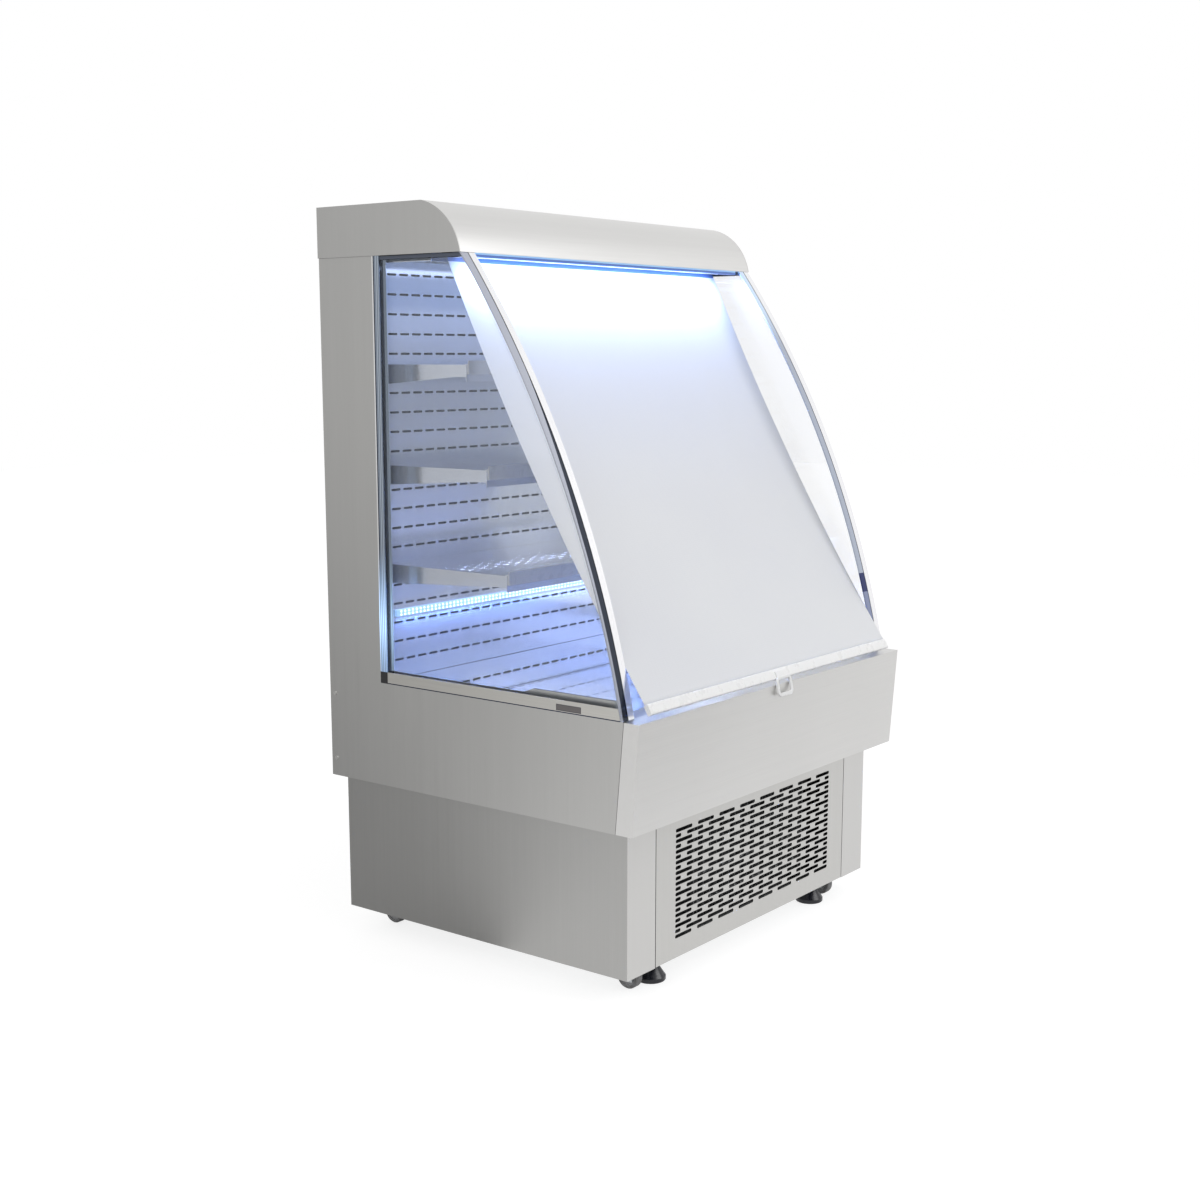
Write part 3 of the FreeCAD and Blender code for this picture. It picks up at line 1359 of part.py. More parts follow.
BAR_EDGE_RADIUS = 3.0
HANDLE_HALF_WIDTH = 29.0
HANDLE_LEAN = 11.8
HANDLE_THICK = 4.5
HANDLE_GRIP = 8.0
HANDLE_ROUND = 1.4
HANDLE_CORNER = 12.0
HANDLE_STAND_OFF = 0.2


def handle_drop(pivot_depth):
    """Length of the loop below the bar, such that its rounded front edge reaches the total depth."""
    lean = math.radians(HANDLE_LEAN)
    flat = (HANDLE_THICK - HANDLE_ROUND) * math.cos(lean)
    return HANDLE_ROUND + (float(dims.total_depth) - HANDLE_ROUND - flat - pivot_depth) / math.sin(lean)


def blind_handle():
    """Loop that hangs from the bar in front of the lip of the well, and its mounting plate on the bar."""
    foot = -BAR_HALF_HEIGHT + BAR_EDGE_RADIUS
    y, z = (float(part) for part in on_blind(size(foot), size(BAR_HALF_THICK + HANDLE_STAND_OFF)))
    drop = handle_drop(float(depth(0)) - y)
    outer = rounded_rectangle(HANDLE_HALF_WIDTH, -drop, 1.0, HANDLE_CORNER)
    inner = rounded_rectangle(HANDLE_HALF_WIDTH - HANDLE_GRIP, -drop + HANDLE_GRIP, -5.0,
                              HANDLE_CORNER - HANDLE_GRIP)
    loop = Part.Face(outer).cut(Part.Face(inner)).extrude(Vector(0, 0, HANDLE_THICK))
    rims = [edge for edge in loop.Edges if abs(edge.BoundBox.ZLength) < 0.01]
    loop = loop.makeFillet(HANDLE_ROUND, rims)
    hung = shaped("loop", loop, Placement(Vector(0, y, z), Rotation(BLIND_AXIS, 90 - HANDLE_LEAN)))
    plate = blind_slab("handle_plate", both_ways(HANDLE_HALF_WIDTH - HANDLE_GRIP),
                       (BAR_HALF_THICK, BAR_HALF_THICK + 2.5), (foot, 4))
    keep(fuse("handle", [hung, plate]), "blind_handle")


def rounded_rectangle(half_u, low_v, high_v, radius):
    """Closed wire of a rectangle with quarter-round corners."""
    bend = radius * (1 - math.sqrt(0.5))
    corners = [(half_u, low_v, 1, -1), (half_u, high_v, 1, 1),
               (-half_u, high_v, -1, 1), (-half_u, low_v, -1, -1)]
    arcs = []
    for u, v, lean_u, lean_v in corners:
        side_end = Vector(u, v - lean_v * radius, 0)
        level_end = Vector(u - lean_u * radius, v, 0)
        middle = Vector(u - lean_u * bend, v - lean_v * bend, 0)
        turns_left = lean_u * lean_v > 0
        arcs.append((side_end, middle, level_end) if turns_left else (level_end, middle, side_end))
    edges = []
    for index, (first, middle, last) in enumerate(arcs):
        edges.append(Part.Arc(first, middle, last).toShape())
        edges.append(Part.makeLine(last, arcs[(index + 1) % 4][0]))
    return Part.Wire(edges)


# ---------------------------------------------------------------- shelves

SHELF_REAR = 121.5
SHELF_PLATE = 2.0
SHELF_ROW_STEP = 22.0
RAIL_THICK = 5.0
HOOK_HOLD = 34.7
HOOK_TOP = 22.0
HOOK_TIP = 45.0
HOOK_REAR = 110.5
HOOK_FACE = 118.2


def shelf(name, height, front):
    """Hung shelf: perforated tray with folded front and rear, tapering side plates and hooks.

    A hook passes through a slot of the upright, rests on its lower edge and drops behind the sheet.
    """
    sheet = float(skin)
    half, side_height = float(dims.shelf_half_width), float(dims.shelf_side)
    slots = []
    for row in range(int((front - SHELF_REAR - 50.0) // SHELF_ROW_STEP)):
        slots += slot_row(-(SHELF_REAR + 30.0 + row * SHELF_ROW_STEP), 24, 36.0, 24.0, 5.0)
    tray = holed(rectangle(-half, half, -front, -SHELF_REAR), slots, sheet)
    tray.translate(Vector(0, float(depth(0)), height - sheet))
    y_front, y_rear = float(depth(front)), float(depth(SHELF_REAR))
    parts = [
        block((-half, half), (y_front, y_front + sheet), (height - 33.0, height)),
        block((-half, half), (y_rear - sheet, y_rear), (height - 26.0, height)),
    ]
    plate = side_outline((SHELF_REAR, height - side_height), (SHELF_REAR, height), (front, height),
                         (front, height - 24.0), (front - 30.0, height - 24.0))
    hook = side_outline((SHELF_REAR + 4, height - HOOK_TOP), (HOOK_REAR, height - HOOK_TOP),
                        (HOOK_REAR, height - HOOK_TIP), (HOOK_FACE, height - HOOK_TIP),
                        (HOOK_FACE, height - HOOK_HOLD), (SHELF_REAR + 4, height - HOOK_HOLD))
    for start in (-half, half - SHELF_PLATE):
        for outline in (plate, hook):
            slab = side_slab(outline, SHELF_PLATE)
            slab.translate(Vector(start, 0, 0))
            parts.append(slab)
    shape = tray.multiFuse(parts).removeSplitter()
    keep(shaped("hung_shelf_" + name, shape), "shelf_" + name)


def price_rail(name, height, front):
    """Clear label rail clipped to the front fold of a shelf."""
    reach = front + RAIL_THICK
    section = side_outline((front, height - 19), (front, height), (front - 6, height),
                           (front - 6, height + 1.2), (front + 1.2, height + 1.2), (reach - 1.2, height + 8),
                           (reach, height + 8), (reach, height - 19))
    half = float(dims.shelf_half_width) - 2.0
    at = Placement(Vector(-half, 0, 0), Rotation())
    keep(shaped("label_rail_" + name, side_slab(section, 2 * half), at), "price_rail_" + name)


def shelf_light():
    """Light strip under the front of the bottom shelf."""
    _, height, front = list(shelf_levels())[-1]
    strip = box("shelf_light_strip", both_ways(420), deep(front - 22, front - 8),
                (height - 11, height - float(skin)))
    keep(strip, "shelf_light")


# ---------------------------------------------------------------- fasteners

def panel_screws():
    """Button heads: two on each side of the well and six on the rear cover."""
    heads = []
    for name, side in SIDES:
        for row, height in enumerate((390, 530)):
            start = half_width if side > 0 else -half_width - 1.8
            heads.append(cylinder(f"side_screw_{name}_{row}", (start, depth(14), height), 4, 1.8, "X"))
    for column, x in enumerate((-430, 430)):
        for row, height in enumerate((90, 205, 320)):
            at = (x, depth(REAR_PANEL_DEPTH), height)
            heads.append(cylinder(f"rear_screw_{column}_{row}", at, 4.5, 2, "Y"))
    keep(group("screws", heads), "panel_screws")


# ---------------------------------------------------------------- assembly

def build():
    """Make every sub-part."""
    base_tray()
    base_rear_panel()
    grille_panel()
    levelling_feet()
    castor_wheels()
    condensate_pan()
    compressor()
    condenser()
    control_box()
    power_switch()
    power_inlet()
    front_bumper_panel()
    well_tub()
    deck_panel()
    evaporator()
    fan_plate()
    evaporator_fans()
    rear_insulated_panel()
    back_wall_panel()
    shelf_uprights()
    rail_corner_blocks()
    for name, side in SIDES:
        base_side_panel(name, side)
        well_side_panel(name, side)
        column_side_panel(name, side)
        side_glass(name, side)
        glass_bottom_rail(name, side)
        glass_rear_channel(name, side)
        glass_front_trim(name, side)
        hood_side_cap(name, side)
    hood_cover()
    hood_soffit()
    air_outlet_honeycomb()
    cabinet_lights()
    blind_roller()
    blind_fabric()
    blind_bottom_bar()
    blind_handle()
    for name, height, front in shelf_levels():
        shelf(name, height, front)
        price_rail(name, height, front)
    shelf_light()
    panel_screws()


def check_objects():
    """Stop if the document holds a failed object or a sub-part without a sound shape."""
    faults = []
    for obj in doc.Objects:
        if "Invalid" in obj.State or "Error" in obj.State:
            faults.append(f"{obj.Label}: {obj.State}")
    for obj in pieces:
        if obj.Shape.isNull() or not obj.Shape.isValid() or obj.Shape.Volume <= 0:
            faults.append(f"{obj.Label}: no sound shape")
    if faults:
        raise RuntimeError("; ".join(faults))


def write_pieces():
    """Write each sub-part to a file of its own."""
    os.makedirs("parts", exist_ok=True)
    for obj in pieces:
        obj.Shape.exportStep(f"parts/{obj.Label}.step")


build()
doc.recompute()
check_objects()
write_pieces()
print(len(pieces), "sub-parts")
for piece in pieces:
    limits = piece.Shape.BoundBox
    print(f"{piece.Label:28s} solids {len(piece.Shape.Solids)} volume {piece.Shape.Volume / 1000:9.1f} cm3"
          f"  x {limits.XMin:7.1f} {limits.XMax:7.1f}  y {limits.YMin:7.1f} {limits.YMax:7.1f}"
          f"  z {limits.ZMin:7.1f} {limits.ZMax:7.1f}")
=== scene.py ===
"""Looks of the open multideck display fridge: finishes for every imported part, the night blind's cloth, the
light bars with their lamps, and a plain pale studio with the camera at the photograph's angle.

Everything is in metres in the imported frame: +Z up, the front faces -Y, the floor is at z = 0.
"""
import math

import bmesh
import bpy
import numpy as np
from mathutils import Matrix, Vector


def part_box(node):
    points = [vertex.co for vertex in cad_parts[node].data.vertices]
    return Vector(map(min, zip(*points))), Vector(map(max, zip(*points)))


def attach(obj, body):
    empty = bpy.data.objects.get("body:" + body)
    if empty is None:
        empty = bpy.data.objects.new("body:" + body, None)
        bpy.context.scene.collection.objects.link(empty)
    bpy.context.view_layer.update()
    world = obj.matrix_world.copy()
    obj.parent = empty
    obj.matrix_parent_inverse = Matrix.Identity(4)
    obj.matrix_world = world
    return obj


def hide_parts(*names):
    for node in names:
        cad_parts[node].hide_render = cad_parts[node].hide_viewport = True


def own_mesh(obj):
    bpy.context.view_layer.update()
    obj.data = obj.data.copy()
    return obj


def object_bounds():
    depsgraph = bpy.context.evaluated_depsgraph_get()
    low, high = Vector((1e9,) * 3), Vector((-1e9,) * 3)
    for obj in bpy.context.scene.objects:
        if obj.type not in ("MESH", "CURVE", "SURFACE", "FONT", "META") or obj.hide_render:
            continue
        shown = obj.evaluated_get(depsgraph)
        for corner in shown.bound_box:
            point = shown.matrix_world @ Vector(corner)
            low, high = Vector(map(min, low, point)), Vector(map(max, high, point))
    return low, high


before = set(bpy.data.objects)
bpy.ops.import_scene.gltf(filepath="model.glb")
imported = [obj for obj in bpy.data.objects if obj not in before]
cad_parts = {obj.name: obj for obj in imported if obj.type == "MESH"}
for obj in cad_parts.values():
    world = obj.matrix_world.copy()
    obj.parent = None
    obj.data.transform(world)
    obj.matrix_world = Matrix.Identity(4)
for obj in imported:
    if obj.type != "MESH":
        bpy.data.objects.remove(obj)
cad_low, cad_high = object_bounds()

# The body, by y from the rear face: the air wall, the two fronts of the base and the rear panel's sheet, with
# the heights of the deck's underside and the liner's rim, and where the floor beside and before it begins.
HALF_DEPTH = cad_high.y
WALL_FACE = HALF_DEPTH - 0.120
BASE_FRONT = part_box("base_side_panel_left")[0].y
GRILLE_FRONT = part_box("grille_panel")[0].y
DECK_UNDERSIDE = 0.4858
LINER_RIM = 0.483
REAR_SHEET_FACE = HALF_DEPTH - 0.0395
BODY_HALF_WIDTH = 0.5
FLOOR_FRONT = -0.41

# The bumper's side seam: y and z of its foot, how far it leans per metre, and how far out it lies.
SEAM_FOOT = (HALF_DEPTH - 0.754, 0.352)
SEAM_LEAN = 0.088
SEAM_WIDTH = 0.0009
BUMPER_SIDE = 0.4985

# The side panes: centre (y, z) and radius of the curved front, and the inner edges of the other seals.
GLASS_CENTRE = (HALF_DEPTH + 1.3312, 0.1455)
GLASS_RADIUS = 2.1424
FRONT_JOINT = 0.0115
REAR_SEAL = HALF_DEPTH - 0.163
FOOT_SEAL = 0.585
HEAD_SEAL = 1.417

# The plate on the foot rail: centre (y, z), half length, half height and width of its border.
PLATE_CENTRE = (HALF_DEPTH - 0.644, 0.5775)
PLATE_HALF = (0.030, 0.0062)
PLATE_BORDER = 0.0012

# The rear channel: y of its rear edge, and how wide its bright line and groove are.
CHANNEL_REAR = HALF_DEPTH - 0.150
CHANNEL_LINE = 0.0030
CHANNEL_GROOVE_END = 0.0065

# The castors: y of the rear and front axles, their height and the hub's radius.
CASTOR_REAR = HALF_DEPTH - 0.055
CASTOR_FRONT = HALF_DEPTH - 0.695
CASTOR_HEIGHT = 0.025
HUB_RADIUS = 0.0185

# The night blind: foot (y, z) of its run, lean, run and half width, where the cloth starts above the bar, how
# far it sags, where the hood's shade begins on it, and the box of its roller.
BLIND_FOOT = (HALF_DEPTH - 0.797, 0.587)
BLIND_LEAN = math.radians(30.1)
BLIND_RUN = 0.972
BLIND_HALF_WIDTH = 0.460
BAR_TO_CLOTH = 0.0113
CLOTH_SAG = 0.019
SHADED_TOP = BLIND_RUN - 0.0185
ROLLER_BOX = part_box("blind_roller_tube")

# The lamps: height and half sizes of the bar on the air wall, and their colour as painted light beside them.
WALL_LIGHT_HEIGHT = 0.7005
WALL_LIGHT_HALF = (0.425, 0.007)
LAMP_BLUE = (0.45, 0.70, 1.0)


# ---------------------------------------------------------------- shader nodes

class Finish:
    """A procedural material around one Principled shader, with textures on Object coordinates."""

    def __init__(self, name, **sockets):
        self.material = bpy.data.materials.new(name)
        self.material.use_nodes = True
        self.tree = self.material.node_tree
        self.shader = self.tree.nodes["Principled BSDF"]
        self.sockets = {socket.name: socket for socket in self.shader.inputs}
        for socket, amount in sockets.items():
            self.set(socket.replace("_", " "), amount)

    def set(self, socket, amount):
        """Put a plain value or an output of another node into a socket of the shader."""
        target = self.sockets[socket]
        if isinstance(amount, bpy.types.NodeSocket):
            self.tree.links.new(amount, target)
        elif hasattr(amount, "__len__") and len(amount) == 3 and target.type == "RGBA":
            target.default_value = (*amount, 1.0)
        else:
            target.default_value = amount

    def node(self, kind, inputs=(), **settings):
        """New node with settings as attributes and inputs as pairs of socket and value."""
        made = self.tree.nodes.new(kind)
        for name, value in settings.items():
            setattr(made, name, value)
        for socket, value in inputs:
            if isinstance(value, bpy.types.NodeSocket):
                self.tree.links.new(value, made.inputs[socket])
            else:
                made.inputs[socket].default_value = value
        return made

    def place(self, scale):
        """Object coordinates with a scale for each axis."""
        coordinates = self.node("ShaderNodeTexCoord").outputs["Object"]
        return self.node("ShaderNodeMapping", [(0, coordinates), (3, scale)]).outputs[0]

    def axis(self, letter):
        """One Object coordinate in metres."""
        coordinates = self.node("ShaderNodeTexCoord").outputs["Object"]
        return self.node("ShaderNodeSeparateXYZ", [(0, coordinates)]).outputs["XYZ".index(letter)]

    def noise(self, scale, detail=3.0, rough=0.55):
        """Noise value over Object coordinates stretched by a scale for each axis."""
        inputs = [("Vector", self.place(scale)), ("Scale", 1.0), ("Detail", detail), ("Roughness", rough)]
        return self.node("ShaderNodeTexNoise", inputs).outputs["Fac"]

    def compute(self, operation, first, second=0.0):
        """One step of arithmetic."""
        return self.node("ShaderNodeMath", [(0, first), (1, second)], operation=operation).outputs[0]

    def span(self, value, low, high, out_low=0.0, out_high=1.0, smooth=False):
        """Value mapped from one range to another and held at its ends."""
        return self.node("ShaderNodeMapRange", [(0, value), (1, low), (2, high), (3, out_low), (4, out_high)],
                         interpolation_type="SMOOTHSTEP" if smooth else "LINEAR", clamp=True).outputs[0]

    def within(self, value, low, high):
        """1 where a value is between two others, else 0."""
        above, below = self.compute("GREATER_THAN", value, low), self.compute("LESS_THAN", value, high)
        return self.compute("MULTIPLY", above, below)

    def mix(self, share, first, second):
        """Mix of two colours."""
        made = self.node("ShaderNodeMix", data_type="RGBA")
        for socket, value in ((made.inputs[0], share), (made.inputs[6], first), (made.inputs[7], second)):
            if isinstance(value, bpy.types.NodeSocket):
                self.tree.links.new(value, socket)
            elif hasattr(value, "__len__"):
                socket.default_value = (*value, 1.0)
            else:
                socket.default_value = value
        return made.outputs[2]

    def bump(self, height, strength, distance):
        """Raise the surface by a height texture."""
        inputs = [("Strength", strength), ("Distance", distance), ("Height", height)]
        self.set("Normal", self.node("ShaderNodeBump", inputs).outputs[0])

    def wear(self, nodes):
        """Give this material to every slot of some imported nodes."""
        for name in nodes:
            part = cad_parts[name]
            if not part.data.materials:
                part.data.materials.append(self.material)
            for slot in part.material_slots:
                slot.material = self.material


def tint(colour, factor):
    """Colour made lighter or darker."""
    return tuple(min(1.0, channel * factor) for channel in colour)


def both(name):
    """The left and the right part of a pair."""
    return [name + "_left", name + "_right"]


def stretch(letter, low, high):
    """Maker of a mask that is 1 over a stretch of one coordinate."""
    return lambda finish: finish.within(finish.axis(letter), low, high)


# ---------------------------------------------------------------- finishes

def bumper_seam(finish):
    """Mask of the thin gap behind the bumper's folded ends: y = y0 - lean (z - z0) from the seam's foot."""
    height = finish.compute("SUBTRACT", finish.axis("Z"), SEAM_FOOT[1])
    edge = finish.compute("SUBTRACT", SEAM_FOOT[0], finish.compute("MULTIPLY", height, SEAM_LEAN))
    behind = finish.within(finish.compute("SUBTRACT", finish.axis("Y"), edge), -SEAM_WIDTH, 0.01)
    at_side = finish.compute("GREATER_THAN", finish.compute("ABSOLUTE", finish.axis("X")), BUMPER_SIDE)
    return finish.compute("MULTIPLY", behind, at_side)


def brushed(name, colour, grain, roughness=0.34, metal=1.0, patch=None, patch_colour=None):
    """Brushed sheet: fine streaks along one axis, broad cloudy tone and slightly uneven gloss. A patch of it
    may
    take another colour: painted shade in its slots and on its hidden faces, a dark seam, and painted light on
    a front fold."""
    steel = Finish(name, Metallic=metal)
    contrast, relief = 0.045, 0.05
    across = [1300.0, 1300.0, 1300.0]
    across["XYZ".index(grain)] = 6.0
    streaks = steel.noise(tuple(across), 3.0, 0.6)
    broad = [70.0, 70.0, 70.0]
    broad["XYZ".index(grain)] = 0.5
    bands = steel.noise(tuple(broad), 3.0, 0.6)
    clouds = steel.noise((2.2, 2.2, 2.2), 2.0, 0.5)
    tone = steel.compute("ADD", steel.compute("MULTIPLY", streaks, 0.7),
                         steel.compute("MULTIPLY", bands, 0.3))
    tone = steel.span(tone, 0.30, 0.70)
    base = steel.mix(tone, tint(colour, 1 - contrast), tint(colour, 1 + contrast))
    base = steel.mix(steel.span(clouds, 0.35, 0.65, 0.0, 0.30), base, tint(colour, 0.93))
    if patch:
        base = steel.mix(patch(steel), base, patch_colour)
    steel.set("Base Color", base)
    steel.set("Roughness", steel.span(tone, 0.0, 1.0, roughness - 0.04, roughness + 0.05))
    steel.bump(streaks, relief, 0.00005)
    return steel


def powder_coat(name, colour, roughness=0.38):
    """Powder-coated sheet: orange peel, a little dust in the tone."""
    paint = Finish(name)
    peel = paint.noise((700.0, 700.0, 700.0), 2.0, 0.5)
    dust = paint.noise((9.0, 9.0, 9.0), 4.0, 0.6)
    paint.set("Base Color", paint.mix(paint.span(dust, 0.35, 0.7), colour, tint(colour, 0.93)))
    paint.set("Roughness", paint.span(dust, 0.3, 0.7, roughness - 0.04, roughness + 0.06))
    paint.bump(peel, 0.12, 0.0003)
    return paint


def moulded(name, colour, roughness=0.5, texture=900.0, scuffed=1.35):
    """Moulded plastic or rubber: fine grain with slight scuffs."""
    plastic = Finish(name)
    grain = plastic.noise((texture, texture, texture), 2.0, 0.5)
    scuffs = plastic.noise((45.0, 45.0, 45.0), 5.0, 0.65)
    plastic.set("Base Color", plastic.mix(plastic.span(scuffs, 0.5, 0.8), colour, tint(colour, scuffed)))
    plastic.set("Roughness", plastic.span(scuffs, 0.3, 0.7, roughness - 0.08, roughness + 0.08))
    plastic.bump(grain, 0.15, 0.0003)
    return plastic


def galvanised(name, colour):
    """Zinc-coated sheet: grains of spangle with their own tone and gloss."""
    zinc = Finish(name, Metallic=0.9)
    spangle = zinc.node("ShaderNodeTexVoronoi", [("Vector", zinc.place((70.0, 70.0, 70.0))), ("Scale", 1.0)])
    grey = zinc.node("ShaderNodeSeparateColor", [(0, spangle.outputs["Color"])]).outputs[0]
    zinc.set("Base Color", zinc.mix(grey, tint(colour, 0.88), tint(colour, 1.1)))
    zinc.set("Roughness", zinc.span(grey, 0.0, 1.0, 0.38, 0.55))
    return zinc


def fins(name, colour):
    """Matt aluminium fins, darker in random patches of dust."""
    metal = Finish(name, Metallic=0.7)
    dust = metal.noise((25.0, 25.0, 25.0), 4.0, 0.6)
    metal.set("Base Color", metal.mix(metal.span(dust, 0.35, 0.65), colour, tint(colour, 0.6)))
    metal.set("Roughness", metal.span(dust, 0.3, 0.7, 0.4, 0.6))
    return metal


def pane_glass(name):
    """Clear pane that mirrors more at a glancing angle (0.04 + 0.9 * (1 - cosine) ** 5 of the light), with a
    clear joint along the curved front and a dark seal along the other sides."""
    glass = Finish(name, Roughness=0.03)
    y, z = glass.axis("Y"), glass.axis("Z")
    from_centre_y = glass.compute("SUBTRACT", y, GLASS_CENTRE[0])
    from_centre_z = glass.compute("SUBTRACT", z, GLASS_CENTRE[1])
    square = glass.compute("ADD", glass.compute("MULTIPLY", from_centre_y, from_centre_y),
                       glass.compute("MULTIPLY", from_centre_z, from_centre_z))
    at_front = glass.compute("GREATER_THAN", glass.compute("SQRT", square), GLASS_RADIUS - FRONT_JOINT)
    at_rear = glass.compute("GREATER_THAN", y, REAR_SEAL)
    at_foot = glass.compute("LESS_THAN", z, FOOT_SEAL)
    at_head = glass.compute("GREATER_THAN", z, HEAD_SEAL)
    dark_rim = glass.compute("MAXIMUM", at_rear, glass.compute("MAXIMUM", at_foot, at_head))
    joint = glass.compute("MULTIPLY", at_front, 0.10)
    edge = glass.compute("MAXIMUM", joint, dark_rim)
    facing = glass.node("ShaderNodeLayerWeight", [("Blend", 0.5)]).outputs["Facing"]
    glancing = glass.compute("MULTIPLY", glass.compute("POWER", facing, 5.0), 0.9)
    smear = glass.noise((2.0, 6.0, 3.0), 3.0, 0.5)
    mirror = glass.compute("ADD", glass.compute("ADD", glancing, 0.035),
                           glass.span(smear, 0.4, 0.7, 0.0, 0.012))
    glass.set("Base Color", glass.mix(dark_rim, (0.80, 0.88, 1.0), (0.09, 0.11, 0.16)))
    glass.set("Metallic", glass.compute("SUBTRACT", 1.0, edge))
    glass.set("Alpha", glass.compute("MAXIMUM", mirror, glass.compute("MULTIPLY", edge, 0.9)))
    return glass


def foot_rail(name):
    """Satin rail under a pane: a dark seal line along its foot and head, and a bare plate on its side."""
    rail = Finish(name, Metallic=1.0)
    y, z = rail.axis("Y"), rail.axis("Z")
    grain = rail.noise((900.0, 5.0, 900.0), 3.0, 0.6)
    metal = rail.mix(rail.span(grain, 0.3, 0.7), (0.52, 0.51, 0.48), (0.58, 0.57, 0.54))
    at_foot, at_head = rail.compute("LESS_THAN", z, 0.5700), rail.compute("GREATER_THAN", z, 0.6008)
    seal = rail.compute("MAXIMUM", at_foot, at_head)
    colour = rail.mix(seal, metal, (0.03, 0.035, 0.07))
    along = rail.compute("ABSOLUTE", rail.compute("SUBTRACT", y, PLATE_CENTRE[0]))
    up = rail.compute("ABSOLUTE", rail.compute("SUBTRACT", z, PLATE_CENTRE[1]))
    plate = rail.compute("MULTIPLY", rail.compute("LESS_THAN", along, PLATE_HALF[0]),
                         rail.compute("LESS_THAN", up, PLATE_HALF[1]))
    face = rail.compute("MULTIPLY", rail.compute("LESS_THAN", along, PLATE_HALF[0] - PLATE_BORDER),
                        rail.compute("LESS_THAN", up, PLATE_HALF[1] - PLATE_BORDER))
    colour = rail.mix(plate, colour, (0.10, 0.10, 0.11))
    colour = rail.mix(face, colour, (0.17, 0.16, 0.16))
    rail.set("Base Color", colour)
    rail.set("Roughness", rail.span(grain, 0.3, 0.7, 0.28, 0.38))
    rail.bump(plate, 0.4, 0.0006)
    return rail


def rear_channel(name):
    """Polished upright channel behind a pane: bright outer line, dark groove and bands that shade off
    inwards.
    The light of the lamps on the air wall is painted on it: a blue tint low down, a blue glow beside the
    lamps that follows the bands, and a faint glow on its inner side."""
    channel = Finish(name, Metallic=1.0)
    inwards = channel.compute("SUBTRACT", CHANNEL_REAR, channel.axis("Y"))
    grain = channel.noise((900.0, 900.0, 5.0), 3.0, 0.6)
    bright = channel.compute("LESS_THAN", inwards, CHANNEL_LINE)
    groove = channel.within(inwards, CHANNEL_LINE, CHANNEL_GROOVE_END)
    waves = channel.compute("SINE", channel.compute("MULTIPLY", inwards, 1250.0))
    bands = channel.mix(channel.span(waves, -1.0, 1.0), (0.20, 0.24, 0.30), (0.48, 0.54, 0.62))
    colour = channel.mix(bright, bands, (0.88, 0.88, 0.88))
    colour = channel.mix(groove, colour, (0.05, 0.06, 0.09))
    height = channel.axis("Z")
    low = channel.span(height, 0.70, 0.86, 1.0, 0.0, smooth=True)
    channel.set("Base Color", channel.mix(channel.compute("MULTIPLY", low, 0.6), colour, (0.45, 0.62, 1.0)))
    inner_wall = channel.compute("LESS_THAN", channel.compute("ABSOLUTE", channel.axis("X")), 0.4825)
    from_lamps = channel.compute("ABSOLUTE", channel.compute("SUBTRACT", height, 0.690))
    beside = channel.span(from_lamps, 0.015, 0.170, 1.0, 0.0)
    lit = channel.compute("MULTIPLY", channel.compute("MULTIPLY", beside, beside),
                          channel.span(waves, -1.4, 1.0))
    glow = channel.mix(inner_wall, (0.0, 0.0, 0.0), (0.10, 0.12, 0.15))
    channel.set("Emission Color", channel.mix(lit, glow, LAMP_BLUE))
    channel.set("Emission Strength", 1.3)
    channel.set("Roughness", channel.span(grain, 0.3, 0.7, 0.14, 0.26))
    return channel


def curved_strip(name):
    """Polished strip over the pane edges, with painted light and shade. The sides that look to the left are
    painted grey, darker low down, and the others bright, as the light falls from the front right; on the
    inner side of the right strip a blue tint of the lamps is painted near its top and a navy shade at the
    height of the lamps on the air wall. The groove between them is dark and widens towards its foot."""
    strip = Finish(name, Metallic=1.0)
    side, height = strip.axis("X"), strip.axis("Z")
    from_middle = strip.compute("ABSOLUTE", side)
    grain = strip.noise((500.0, 4.0, 4.0), 3.0, 0.5)
    grey = strip.mix(strip.span(height, 0.62, 1.15), (0.36, 0.38, 0.44), (0.46, 0.48, 0.55))
    pale = (0.88, 0.88, 0.90)
    left = strip.mix(strip.span(from_middle, 0.4805, 0.4810), pale, grey)
    under_lamp = strip.span(height, 1.24, 1.36, 0.0, 1.0, smooth=True)
    cool = strip.mix(under_lamp, (0.42, 0.46, 0.55), (0.66, 0.80, 1.0))
    shade = strip.within(height, 0.700, 0.742)
    cool = strip.mix(strip.span(height, 0.742, 0.700, 0.0, 0.6), cool, (0.14, 0.17, 0.34))
    cool = strip.mix(shade, cool, (0.035, 0.045, 0.14))
    right = strip.mix(strip.span(from_middle, 0.4795, 0.4800), cool, pale)
    colour = strip.mix(strip.compute("GREATER_THAN", side, 0.0), left, right)
    growth = strip.span(height, 1.20, 0.92, 0.0, 0.0135)
    reach = strip.compute("MULTIPLY", growth, strip.compute("LESS_THAN", side, 0.0))
    groove = strip.compute("MULTIPLY", strip.compute("GREATER_THAN", from_middle, 0.4788),
                       strip.compute("LESS_THAN", from_middle, strip.compute("ADD", reach, 0.4812)))
    strip.set("Base Color", strip.mix(groove, colour, (0.045, 0.052, 0.070)))
    strip.set("Roughness", strip.span(grain, 0.3, 0.7, 0.16, 0.26))
    return strip


def shaded_liner(name, colour, shade, letter, edge):
    """Liner sheet whose colour turns to the shade of the air space below one coordinate."""
    liner = Finish(name, Roughness=0.5)
    past = liner.compute("LESS_THAN", liner.axis(letter), edge)
    dust = liner.noise((14.0, 14.0, 14.0), 4.0, 0.6)
    body = liner.mix(liner.span(dust, 0.35, 0.7), colour, tint(colour, 0.9))
    dark = liner.mix(liner.span(dust, 0.35, 0.7), shade, tint(shade, 0.8))
    liner.set("Base Color", liner.mix(past, body, dark))
    liner.bump(liner.noise((500.0, 500.0, 500.0), 2.0, 0.5), 0.1, 0.0003)
    return liner


